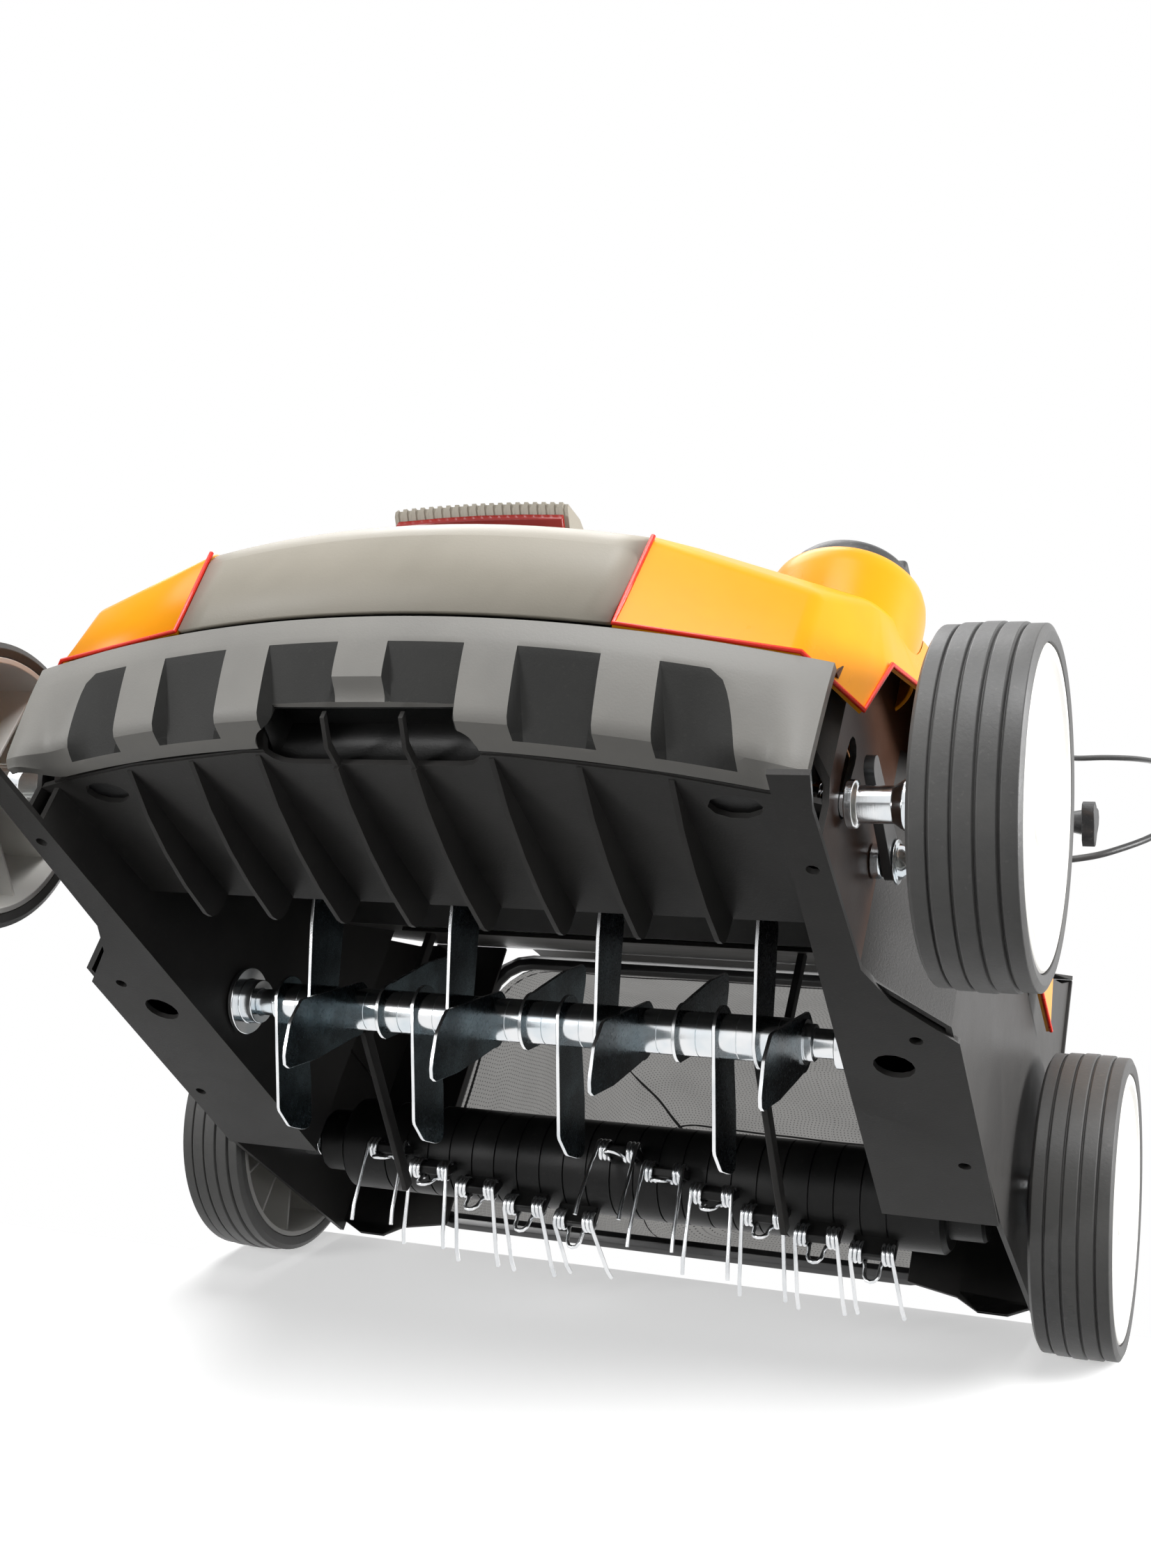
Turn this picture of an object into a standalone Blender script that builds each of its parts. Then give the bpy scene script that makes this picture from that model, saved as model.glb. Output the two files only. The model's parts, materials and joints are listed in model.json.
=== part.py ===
# Cordless lawn scarifier, modelled in metres with +Z up and the front facing -Y.
# While the pieces are made, Y is measured from the front axle and Z from the ground.
# The last step moves the whole machine so that its origin is the middle of its footprint.

import math

import bmesh
import bpy
from mathutils import Matrix, Vector

for thing in list(bpy.data.objects):
    bpy.data.objects.remove(thing, do_unlink=True)

# Fits
GAP = 0.0003            # between pieces that touch
RUN = 0.0003            # radial play round a shaft or a bolt
WELD = 0.000002
MERGE = 0.00005

# Wheels and axles
FACETS = 28
FRONT_RADIUS = 0.080
REAR_RADIUS = 0.090
WHEEL_WIDTH = 0.046
WHEELBASE = 0.4105
FRONT_TRACK = 0.2795    # half track, to the middle of the tyre
REAR_TRACK = 0.2820
TYRE_SHARE = 0.118      # tyre thickness as a share of the wheel's radius
TREAD_STEP = 0.0020
AXLE_RADIUS = 0.0060
FLAT = math.cos(math.pi / FACETS)
FRONT_AXLE = (0.0, FRONT_RADIUS * FLAT)
REAR_AXLE = (WHEELBASE, REAR_RADIUS * FLAT)

# Crank that lifts the front axle
CRANK_PIVOT = (0.064, 0.0936)
CRANK_LIFT = math.radians(26.0)
CRANK_X = (0.1995, 0.2035)
CRANK_EYE = 0.0098
CRANK_TUBE = 0.0070
PIVOT_BOLT = 0.0040

# Deck
WALL = 0.0030
DECK_FRONT = -0.066
FRONT_WALL_X = FRONT_TRACK - WHEEL_WIDTH / 2 - 0.0445   # outer face of the side wall beside the front wheel
REAR_WALL_X = REAR_TRACK - WHEEL_WIDTH / 2 - 0.0100     # outer face of the side wall beside the rear wheel
WALL_TOP = 0.172
FLANGE_HEIGHT = 0.0415  # underside of the flange at the front axle
FLANGE_SLOPE = 0.0463
FLANGE_END = 0.312
DECK_END = 0.485
REAR_LOW = 0.0430       # lower rear corner of the side wall
INNER_FRONT_X = 0.1995
INNER_SLOPE = 0.0413
PAN_RISE = 0.0660
CEILING_END = 0.290
RIB_PITCH = 0.0412
RIB_THICK = 0.0026
RIB_DEPTH = 0.0190
INTAKE_Y = -0.0541      # middle of the air intake behind the bumper's lower edge
INTAKE_HALF = 0.0450
INTAKE_RADIUS = 0.0131

# Bow of the front end
BUMPER_NOSE = -0.0880
BUMPER_CROWN = 0.80

# Blade roller and tine roller
BLADE_AXIS = (0.190, 0.0635)
BLADE_TIP = 0.0820
BLADE_COUNT = 15
BLADE_PITCH = 0.0225
BLADE_THICK = 0.0020
BLADE_ANGLES = (-40.0, 128.0, -131.0, 50.0)
TUBE_RADIUS = 0.0100
NECK_RADIUS = 0.0078
BEARING_FACE = 0.1765   # inner face of the shaft's bearings
BEARING_SEAT = 0.1878
TUBE_HALF = BEARING_FACE - 0.0122
CHAMBER_RADIUS = 0.1000
TINE_AXIS = (0.400, 0.0750)
TINE_TIP = 0.0720
TINE_COUNT = 11
TINE_PITCH = 0.0325
TINE_WIRE = 0.0012
TINE_BODY = 0.0300
TINE_END = REAR_WALL_X - 0.0033
TINE_SHAFT = 0.0075

# Drive
MOTOR_AXIS = (0.045, 0.135)
MOTOR_RADIUS = 0.0340
MOTOR_PULLEY = 0.0110
SHAFT_PULLEY = 0.0225
BELT_X = (0.1975, 0.2055)
BELT_THICK = 0.0020

# Depth turret
TURRET = (0.185, 0.026)
TURRET_RADIUS = 0.0405
TURRET_TOP = 0.2285
SPINDLE_RADIUS = 0.0060
KNOB_RISE = 0.0130      # how far the dial stands above the cup's rim
KNOB_BAR = 0.0055       # how far its finger bar stands above the dial

# Battery
BAY_HALF = 0.085
BAY_Y = (0.010, 0.190)
BAY_Z = (0.186, 0.240)

# Handle
HANDLE_PIVOT = (0.395, 0.269)
HANDLE_ANGLE = math.radians(50.0)
HANDLE_TUBE = 0.0110
LOWER_X = 0.2050
LOWER_LENGTH = 0.336
FOLD_AT = 0.311
UPPER_X = 0.1820
UPPER_TOP_X = 0.1470
UPPER_TOP = 0.780
UPPER_BEND = 0.035
CLAMP_BOLT = 0.0040
GRIP_RADIUS = 0.0155

# Flap and bag
FLAP_ROD = (0.4905, 0.3045)
FRAME_Y = 0.4935
FRAME_HALF = 0.195
FRAME_Z = (0.064, 0.283)
FRAME_TUBE = 0.0060
BAG_SKIN = 0.0020


def new_collection(name):
    group = bpy.data.collections.new(name)
    bpy.context.scene.collection.children.link(group)
    return group


PARTS = new_collection("lawn_scarifier")


def material(name, colour, roughness, metallic=0.0):
    made = bpy.data.materials.new(name)
    made.use_nodes = True
    shader = made.node_tree.nodes["Principled BSDF"]
    shader.inputs["Base Color"].default_value = (*colour, 1.0)
    shader.inputs["Roughness"].default_value = roughness
    shader.inputs["Metallic"].default_value = metallic
    made.diffuse_color = (*colour, 1.0)
    return made


BLACK = material("black_plastic", (0.020, 0.020, 0.022), 0.45)
GREY = material("grey_plastic", (0.150, 0.145, 0.140), 0.50)
ORANGE = material("orange_plastic", (1.000, 0.360, 0.030), 0.30)
RUBBER = material("tyre_rubber", (0.060, 0.060, 0.060), 0.75)
DISC = material("wheel_plastic", (0.720, 0.700, 0.640), 0.55)
ZINC = material("zinc_steel", (0.620, 0.640, 0.660), 0.28, 1.0)
BLADE_STEEL = material("blade_steel", (0.300, 0.340, 0.370), 0.30, 1.0)
DARK_STEEL = material("dark_steel", (0.090, 0.090, 0.095), 0.45, 1.0)
MESH = material("bag_cloth", (0.050, 0.050, 0.052), 0.90)
FOAM = material("grip_foam", (0.030, 0.030, 0.030), 0.85)
RED = material("red_plastic", (0.600, 0.040, 0.020), 0.40)


# Mesh helpers

def mesh_object(name, bm):
    bmesh.ops.recalc_face_normals(bm, faces=bm.faces)
    mesh = bpy.data.meshes.new(name)
    bm.to_mesh(mesh)
    bm.free()
    made = bpy.data.objects.new(name, mesh)
    PARTS.objects.link(made)
    return made


def bake(made):
    bpy.context.view_layer.update()
    graph = bpy.context.evaluated_depsgraph_get()
    mesh = bpy.data.meshes.new_from_object(made.evaluated_get(graph))
    made.modifiers.clear()
    bm = bmesh.new()
    bm.from_mesh(mesh)
    bmesh.ops.remove_doubles(bm, verts=bm.verts, dist=WELD)
    bmesh.ops.recalc_face_normals(bm, faces=bm.faces)
    bm.to_mesh(mesh)
    bm.free()
    made.data = mesh
    return made


def transform(made, matrix):
    made.data.transform(matrix)
    return made


def box(name, low, high):
    bm = bmesh.new()
    bmesh.ops.create_cube(bm, size=1.0)
    size = Vector(high) - Vector(low)
    bmesh.ops.scale(bm, vec=size, verts=bm.verts)
    bmesh.ops.translate(bm, vec=(Vector(high) + Vector(low)) / 2, verts=bm.verts)
    return mesh_object(name, bm)


def soft_box(name, low, high, radius, segments=2):
    made = box(name, low, high)
    bevel = made.modifiers.new("round", "BEVEL")
    bevel.width = radius
    bevel.segments = segments
    return bake(made)


def from_curve(name, curve, placing):
    drawn = bpy.data.objects.new(name, curve)
    PARTS.objects.link(drawn)
    bpy.context.view_layer.update()
    graph = bpy.context.evaluated_depsgraph_get()
    mesh = bpy.data.meshes.new_from_object(drawn.evaluated_get(graph))
    bpy.data.objects.remove(drawn, do_unlink=True)
    bm = bmesh.new()
    bm.from_mesh(mesh)
    bmesh.ops.remove_doubles(bm, verts=bm.verts, dist=WELD)
    bmesh.ops.transform(bm, matrix=placing, verts=bm.verts)
    return mesh_object(name, bm)


# A flat outline drawn in the plane across an axis and given a thickness along it
ACROSS = {
    "X": Matrix(((0, 0, 1), (1, 0, 0), (0, 1, 0))),
    "Y": Matrix(((1, 0, 0), (0, 0, -1), (0, 1, 0))),
    "Z": Matrix.Identity(3),
}


def plate(name, axis, low, high, outline, holes=()):
    curve = bpy.data.curves.new(name, "CURVE")
    curve.dimensions = "2D"
    curve.fill_mode = "BOTH"
    curve.extrude = (high - low) / 2
    for ring in [outline, *holes]:
        spline = curve.splines.new("POLY")
        spline.points.add(len(ring) - 1)
        for point, (u, v) in zip(spline.points, ring):
            point.co = (u, v, 0, 1)
        spline.use_cyclic_u = True
    middle = (low + high) / 2
    if axis == "Y":
        middle = -middle
    return from_curve(name, curve, ACROSS[axis].to_4x4() @ Matrix.Translation((0, 0, middle)))


# A turned piece: the profile holds (radius, height) from the top down its outer side
TURN = {
    "X": Matrix.Rotation(math.radians(90), 4, "Y"),
    "Y": Matrix.Rotation(math.radians(-90), 4, "X"),
    "Z": Matrix.Identity(4),
}


def turned(name, axis, centre, profile, steps=24, hollow=False):
    bm = bmesh.new()
    ring = [bm.verts.new((radius, 0, height)) for radius, height in profile]
    for first, second in zip(ring, ring[1:]):
        bm.edges.new((first, second))
    if hollow:
        bm.edges.new((ring[-1], ring[0]))
    made = mesh_object(name, bm)
    screw = made.modifiers.new("turn", "SCREW")
    screw.steps = steps
    screw.render_steps = steps
    screw.use_merge_vertices = True
    screw.merge_threshold = MERGE
    bake(made)
    half_step = Matrix.Rotation(math.pi / steps, 4, "Z")
    transform(made, Matrix.Translation(centre) @ TURN[axis] @ half_step)
    made.data.shade_smooth()
    made.data.set_sharp_from_angle(angle=math.radians(35))
    return made


def cylinder(name, axis, centre, radius, low, high, steps=24):
    profile = [(0, high), (radius, high), (radius, low), (0, low)]
    return turned(name, axis, centre, profile, steps)


def rod(name, points, radius, resolution=2, closed=False):
    curve = bpy.data.curves.new(name, "CURVE")
    curve.dimensions = "3D"
    curve.fill_mode = "FULL"
    curve.bevel_depth = radius
    curve.bevel_resolution = resolution
    curve.use_fill_caps = not closed
    spline = curve.splines.new("POLY")
    spline.points.add(len(points) - 1)
    for point, place in zip(spline.points, points):
        point.co = (*place, 1)
    spline.use_cyclic_u = closed
    made = from_curve(name, curve, Matrix.Identity(4))
    made.data.shade_smooth()
    made.data.set_sharp_from_angle(angle=math.radians(50))
    return made


def boolean(base, tools, operation):
    for tool in tools:
        step = base.modifiers.new(operation.lower(), "BOOLEAN")
        step.operation = operation
        step.solver = "EXACT"
        step.object = tool
    bake(base)
    for tool in tools:
        bpy.data.objects.remove(tool, do_unlink=True)
    return base


def join(base, *tools):
    return boolean(base, tools, "UNION")


def cut(base, *tools):
    return boolean(base, tools, "DIFFERENCE")


def mirrored(made, name):
    bm = bmesh.new()
    bm.from_mesh(made.data)
    bmesh.ops.scale(bm, vec=(-1, 1, 1), verts=bm.verts)
    bmesh.ops.reverse_faces(bm, faces=bm.faces)
    return mesh_object(name, bm)


def pair(right, name, look, holder=None):
    """The right piece and its mirror image on the left."""
    left = mirrored(right, name + "_left")
    right.name = name + "_right"
    return [finish(left, look, holder), finish(right, look, holder)]


# Plane geometry helpers

def arc(centre, radius, start, end, steps):
    points = []
    for step in range(steps + 1):
        angle = math.radians(start + (end - start) * step / steps)
        points.append((centre[0] + radius * math.cos(angle), centre[1] + radius * math.sin(angle)))
    return points


def circle(centre, radius, steps=16):
    return arc(centre, radius, 0, 360, steps)[:-1]


def offset_line(points, distance):
    """The open line moved sideways to its left by a distance."""
    moved = []
    for index, point in enumerate(points):
        before = Vector(points[max(index - 1, 0)])
        after = Vector(points[min(index + 1, len(points) - 1)])
        here = Vector(point)
        turns = []
        if index > 0:
            turns.append((here - before).normalized())
        if index < len(points) - 1:
            turns.append((after - here).normalized())
        normals = [Vector((-turn.y, turn.x)) for turn in turns]
        middle = sum(normals, Vector((0, 0))).normalized()
        moved.append(tuple(here + middle * distance / middle.dot(normals[0])))
    return moved


def ribbon(points, width):
    return offset_line(points, width / 2) + offset_line(points, -width / 2)[::-1]


def eye_bar(first, first_radius, second, second_radius, steps=6):
    """Outline round two eyes, such as a crank or a belt."""
    way = Vector(second) - Vector(first)
    heading = math.degrees(math.atan2(way.y, way.x))
    lean = math.degrees(math.acos((first_radius - second_radius) / way.length))
    outline = arc(first, first_radius, heading + lean, heading + 360 - lean, steps)
    return outline + arc(second, second_radius, heading - lean, heading + lean, steps)


def rounded_path(points, radius, steps=4):
    """The path with each inner corner replaced by an arc."""
    path = [Vector(points[0])]
    for before, corner, after in zip(points, points[1:], points[2:]):
        corner = Vector(corner)
        back = (Vector(before) - corner).normalized()
        ahead = (Vector(after) - corner).normalized()
        half = back.angle(ahead) / 2
        reach = radius / math.tan(half)
        start = corner + back * reach
        centre = corner + (back + ahead).normalized() * radius / math.sin(half)
        spin = (start - centre).rotation_difference(corner + ahead * reach - centre)
        for step in range(steps + 1):
            turn = Matrix.Identity(3).to_quaternion().slerp(spin, step / steps)
            path.append(centre + turn @ (start - centre))
    path.append(Vector(points[-1]))
    return path


# Placing: each piece gets its material, and hangs from the empty of the body that carries it

def empty(name, location):
    made = bpy.data.objects.new(name, None)
    made.location = location
    PARTS.objects.link(made)
    return made


MACHINE = empty("machine", (0, 0, 0))


def pivot(name, location, carrier=None):
    made = empty(name, location)
    holder = carrier or MACHINE
    made.parent = holder
    made.matrix_parent_inverse = Matrix.Translation(holder_place(holder)).inverted()
    return made


def holder_place(holder):
    return Vector(holder.location)


def finish(made, look, holder=None):
    made.data.materials.clear()
    made.data.materials.append(look)
    holder = holder or MACHINE
    made.parent = holder
    made.matrix_parent_inverse = Matrix.Translation(holder_place(holder)).inverted()
    return made


# Deck shape: heights along the middle of the machine

def flange_z(y):
    return FLANGE_HEIGHT - FLANGE_SLOPE * y


def inner_x(y):
    """Inner face of the roller chamber's side wall."""
    return INNER_FRONT_X - INNER_SLOPE * (y - DECK_FRONT)


PAN_END = 0.0775
ROOF_SLOPE_START = arc(BLADE_AXIS, CHAMBER_RADIUS, 62, 63, 1)[0]


def roof_line():
    """Underside of the roller chamber's roof and of the ceiling behind it."""
    level = ceiling_z(FLANGE_END)
    roof = arc(BLADE_AXIS, CHAMBER_RADIUS, 164, 62, 8)
    step = [(FLANGE_END, level), (FLANGE_END + 0.0006, ceiling_z(FLANGE_END + 0.0006))]
    return [(0.0765, PAN_RISE + 0.0008)] + roof + step + [(DECK_END, CEILING_END)]


def ceiling_z(y):
    """Underside of the ceiling behind the blade roller."""
    share = (y - ROOF_SLOPE_START[0]) / (DECK_END - ROOF_SLOPE_START[0])
    return ROOF_SLOPE_START[1] + share * (CEILING_END - ROOF_SLOPE_START[1])


def deck_roof():
    line = roof_line()
    roof = plate("roof", "X", -1, 1, line + offset_line(line, WALL)[::-1])
    for vertex in roof.data.vertices:
        wide = inner_x(vertex.co.y) + WALL / 2
        if vertex.co.y > FLANGE_END + 0.0003 and vertex.co.z > ceiling_z(FLANGE_END):
            wide = REAR_WALL_X - WALL / 2
        vertex.co.x = math.copysign(wide, vertex.co.x)
    return roof


def bowed(x, offset):
    """A line across the machine that follows the bumper's bow."""
    return BUMPER_NOSE + BUMPER_CROWN * x * x + offset


BOW_COLUMNS = [-0.198, -0.140, -0.070, 0.0, 0.070, 0.140, 0.198]


def deck_pan():
    side = FRONT_WALL_X - WALL / 2
    front = [(x, bowed(x, 0.0357)) for x in BOW_COLUMNS]
    front = [(-side, bowed(side, 0.0357))] + front + [(side, bowed(side, 0.0357))]
    rear = [(side, PAN_END), (-side, PAN_END)]
    return plate("deck_housing", "Z", PAN_RISE, PAN_RISE + WALL, front + rear)


def deck_front():
    """The wall behind the bumper: one section along the bow, closing down to the pan."""
    face = [(0.0175, 0.1400), (0.0175, 0.0975), (0.0245, 0.0860), (0.0340, PAN_RISE + 0.0006)]
    section = face + [(y + 0.0036, z) for y, z in face[::-1]]
    bm = bmesh.new()
    rings = [[bm.verts.new((x, bowed(x, y), z)) for y, z in section] for x in BOW_COLUMNS]
    for left, right in zip(rings, rings[1:]):
        for index in range(len(section)):
            after = (index + 1) % len(section)
            bm.faces.new((left[index], right[index], right[after], left[after]))
    bm.faces.new(rings[0])
    bm.faces.new(rings[-1])
    return mesh_object("front", bm)


def deck_sides():
    """On each side: the chamber's wall, the outer wall, and the flange that joins them below."""
    front = -0.0175
    low = WALL / 2
    end = FLANGE_END + WALL / 2
    middle = offset_line(roof_line(), WALL / 2)
    over = [point for point in middle if PAN_END < point[0] < FLANGE_END]
    outline = [(front, flange_z(front) + low), (end, flange_z(end) + low), (end, ceiling_z(end) + 0.0020)]
    outline += over[::-1] + [(PAN_END, PAN_RISE + low), (front, PAN_RISE + low)]
    chamber = plate("chamber", "X", 0, WALL, outline)
    for vertex in chamber.data.vertices:
        vertex.co.x += inner_x(vertex.co.y)

    plan = [(0.1960, -0.0392), (FRONT_WALL_X, -0.0235), (FRONT_WALL_X, 0.0760), (REAR_WALL_X, 0.1180), (REAR_WALL_X, DECK_END)]
    skirt = plate("skirt", "Z", 0.0, 0.2, plan + offset_line(plan, WALL)[::-1])
    below = plate("below", "X", 0.1, 0.4,
                  [(-0.2, -0.1), (-0.2, 0.0980), (-0.0360, 0.0980), (-0.0300, 0.0860), (front, PAN_RISE),
                   (front, flange_z(front) + low), (end, flange_z(end) + low), (FLANGE_END + 0.0220, 0.0300),
                   (DECK_END + 0.001, REAR_LOW), (0.6, REAR_LOW), (0.6, -0.1)])
    above = plate("above", "X", 0.1, 0.4,
                  [(-0.2, 0.1395), (0.0050, 0.1395), (0.0350, 0.1660), (0.0900, WALL_TOP), (0.6, WALL_TOP),
                   (0.6, 0.4), (-0.2, 0.4)])
    cut(skirt, below, above)

    step = plate("step", "X", inner_x(FLANGE_END) + low, REAR_WALL_X - low,
                 [(FLANGE_END, flange_z(FLANGE_END) + low), (FLANGE_END + WALL, flange_z(FLANGE_END) + low),
                  (FLANGE_END + WALL, ceiling_z(FLANGE_END) + 0.0025), (FLANGE_END, ceiling_z(FLANGE_END) + 0.0025)])
    lip = 0.0006
    rim = [(inner_x(DECK_FRONT) - lip, DECK_FRONT), (FRONT_WALL_X + 0.0055, DECK_FRONT),
           (FRONT_WALL_X + 0.002, -0.043), (FRONT_WALL_X + 0.002, 0.072), (FRONT_WALL_X + 0.0120, 0.097),
           (REAR_WALL_X + 0.0025, 0.130), (REAR_WALL_X - 0.001, end + 0.001), (inner_x(end) - lip, end + 0.001)]
    holes = [circle((FRONT_WALL_X - 0.0059, -0.0026), 0.0032, 10), circle((REAR_WALL_X - 0.0183, 0.130), 0.0035, 10),
             circle((REAR_WALL_X - 0.0330, 0.155), 0.0105, 14), circle((REAR_WALL_X - 0.0110, 0.250), 0.0035, 10)]
    flange = plate("flange", "Z", 0, WALL, rim, holes)
    for vertex in flange.data.vertices:
        vertex.co.z += flange_z(vertex.co.y)
    right = [chamber, skirt, step, flange]
    return right + [mirrored(piece, piece.name + "_left") for piece in right]


def deck_ears():
    """Ears for the handle and the flap's rod, and the bulkheads behind the side covers."""
    foot = ceiling_z(HANDLE_PIVOT[0])
    ear = [(HANDLE_PIVOT[0] - 0.030, foot - 0.0145), (HANDLE_PIVOT[0] + 0.030, foot + 0.0185)]
    ear += arc(HANDLE_PIVOT, 0.0140, 0, 180, 6)
    right = []
    for low in (LOWER_X - HANDLE_TUBE - GAP - 0.0035, LOWER_X + HANDLE_TUBE + GAP):
        right.append(plate("ear", "X", low, low + 0.0035, ear, [circle(HANDLE_PIVOT, CLAMP_BOLT + RUN, 10)]))
    base = ceiling_z(0.359) + WALL / 2
    side = REAR_WALL_X - WALL / 2
    right.append(plate("bulkhead", "Y", 0.3575, 0.3605,
                       [(0.1340, base), (side, base), (side, 0.3020), (0.1340, 0.3145)]))
    hook = [(0.470, CEILING_END - 0.0060), (0.4845, CEILING_END + 0.0012), (FLAP_ROD[0] + 0.006, FLAP_ROD[1])]
    hook += arc(FLAP_ROD, 0.006, 30, 180, 4)
    right.append(plate("hook", "X", 0.1870, 0.1900, hook, [circle(FLAP_ROD, 0.0033, 8)]))
    outer = REAR_WALL_X - 0.0012
    inner = REAR_WALL_X - 0.0490
    corner = [(inner, REAR_LOW + 0.0430), (inner, REAR_LOW + 0.0095), (inner + 0.0120, REAR_LOW - 0.0010),
              (outer - 0.0170, REAR_LOW - 0.0010), (outer, REAR_LOW + 0.0070), (outer, REAR_LOW + 0.0430)]
    right.append(plate("corner", "Y", DECK_END - 0.0036, DECK_END - 0.0006, corner))
    return right + [mirrored(piece, piece.name + "_left") for piece in right]


def deck_housing():
    deck = join(deck_pan(), deck_roof(), deck_front(), *deck_sides(), *deck_ears(), *deck_ribs())
    tools = [intake_cutter()]
    for side_sign in (-1, 1):
        pocket = [(side_sign * 0.169 + 0.013 * math.cos(a), -0.014 + 0.0085 * math.sin(a))
                  for a in (math.radians(36 * k) for k in range(10))]
        tools.append(plate("pocket", "Z", 0.0, 0.080, pocket))
        tools.append(slot_cutter(side_sign))
        tools.append(cylinder("bolt_hole", "X", (0, *CRANK_PIVOT), PIVOT_BOLT + RUN,
                              side_sign * (FRONT_WALL_X + 0.0005) - 0.004,
                                 side_sign * (FRONT_WALL_X + 0.0005) + 0.004, 12))
    tools.append(cylinder("shaft_hole", "X", (0, *BLADE_AXIS), NECK_RADIUS + 0.0012, -0.200, -0.180, 20))
    cut(deck, *tools)
    join(deck, *[intake_rib(index) for index in (3, 4)])
    return finish(deck, BLACK)


def intake_cutter():
    """A slot with round ends, straight up through the pan's edge, the front wall and the bumper's lip."""
    ends = ((-INTAKE_HALF, INTAKE_Y), (INTAKE_HALF, INTAKE_Y))
    return plate("intake", "Z", 0.0, 0.0930, eye_bar(ends[0], INTAKE_RADIUS, ends[1], INTAKE_RADIUS, 8))


def intake_rib(index):
    """A rib that goes on across the intake and stops short of the bumper's lip."""
    x = (index - 3.5) * RIB_PITCH
    half = RIB_THICK / 2 - 0.0002
    front = INTAKE_Y - INTAKE_RADIUS + 0.0008
    rear = INTAKE_Y + INTAKE_RADIUS + 0.0060
    outline = [(front, 0.0735), (INTAKE_Y, PAN_RISE - 0.0010), (rear, PAN_RISE - 0.0024), (rear, PAN_RISE + 0.0014),
               (INTAKE_Y, PAN_RISE + 0.0034), (front, 0.0775)]
    return plate("intake_rib", "X", x - half, x + half, outline)


def slot_cutter(side_sign):
    """Curved slot in which the front axle swings."""
    radius = math.dist(CRANK_PIVOT, FRONT_AXLE)
    start = math.degrees(math.atan2(FRONT_AXLE[1] - CRANK_PIVOT[1], FRONT_AXLE[0] - CRANK_PIVOT[0])) % 360
    end = start - math.degrees(CRANK_LIFT)
    half = AXLE_RADIUS + 0.0012
    raised = arc(CRANK_PIVOT, radius, end, end, 1)[0]
    shape = arc(CRANK_PIVOT, radius + half, start, end, 5) + arc(raised, half, end, end - 180, 5)[1:-1]
    shape += arc(CRANK_PIVOT, radius - half, end, start, 5) + arc(FRONT_AXLE, half, start - 180, start - 360, 5)[1:-1]
    return plate("slot", "X", side_sign * (FRONT_WALL_X + 0.0005) - 0.005,
                                 side_sign * (FRONT_WALL_X + 0.0005) + 0.005, shape)


def deck_ribs():
    """Eight curved ribs under the front pan, deepest at the chamber's edge."""
    rear = PAN_END - 0.0008
    top = PAN_RISE + 0.0010
    ribs = []
    for index in range(8):
        x = (index - 3.5) * RIB_PITCH
        front = bowed(abs(x) + RIB_THICK, 0.0375)
        belly = []
        for step in range(5):
            share = step / 4
            y = front + share * (rear - 0.010 - front)
            belly.append((y, PAN_RISE - 0.0004 - RIB_DEPTH * math.sin(share * math.pi / 2) ** 0.8))
        corner = arc((rear - 0.010, PAN_RISE - 0.0004 - RIB_DEPTH + 0.010), 0.010, -90, 0, 3)
        outline = belly + corner[1:] + [(rear, top), (front, top)]
        ribs.append(plate("rib", "X", x - RIB_THICK / 2, x + RIB_THICK / 2, outline))
    return ribs


# Front bumper: one section swept across the machine, pushed in at six pockets

BUMPER_TOP = 0.1185
BUMPER_LOW = 0.0662
BUMPER_SKIN = 0.0050
POCKETS = ((0.0132, 0.0512), (0.0775, 0.1144), (0.1417, 0.1830))
POCKET_TOP = 0.1020
POCKET_DEPTH = 0.0110
BUMPER_HALF = 0.2150


def front_bumper():
    columns = [(0.0, 0.0)]
    for low, high in POCKETS:
        columns += [(low - 0.001, 0.0), (low + 0.001, 1.0), (high - 0.001, 1.0), (high + 0.001, 0.0)]
    columns += [(0.1960, 0.0), (BUMPER_HALF, 0.0)]
    columns = [(-x, push) for x, push in columns[:0:-1]] + columns
    bm = bmesh.new()
    rings = []
    for x, push in columns:
        depth = push * POCKET_DEPTH
        low = BUMPER_LOW - 0.018 * max(0.0, (abs(x) - 0.190) / (BUMPER_HALF - 0.190))
        top = BUMPER_TOP - 0.5 * max(0.0, abs(x) - 0.1960)
        face = [(0.0000, top), (-0.0008, POCKET_TOP + 0.0015), (-0.0008 + depth, POCKET_TOP - 0.0010),
                (0.0100 + depth * 0.8, 0.0860), (0.0275, low)]
        back = [(0.0275 + BUMPER_SKIN, low), (0.0100 + depth * 0.8 + BUMPER_SKIN, 0.0860),
                (BUMPER_SKIN + depth - 0.0008, POCKET_TOP - 0.0060),
                (BUMPER_SKIN + depth - 0.0008, POCKET_TOP + 0.0040), (BUMPER_SKIN, top)]
        base = bowed(x, 0.0)
        rings.append([bm.verts.new((x, base + y, z)) for y, z in face + back])
    count = len(rings[0])
    for left, right in zip(rings, rings[1:]):
        for index in range(count):
            after = (index + 1) % count
            bm.faces.new((left[index], right[index], right[after], left[after]))
    bm.faces.new(rings[0])
    bm.faces.new(rings[-1])
    made = mesh_object("front_bumper", bm)
    cut(made, intake_cutter())
    return finish(made, GREY)


# Covers: one skin over the whole top, described at stations from the nose to the rear.
# Each station gives the middle, the seam of the grey part and the shoulder of the orange part.

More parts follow.
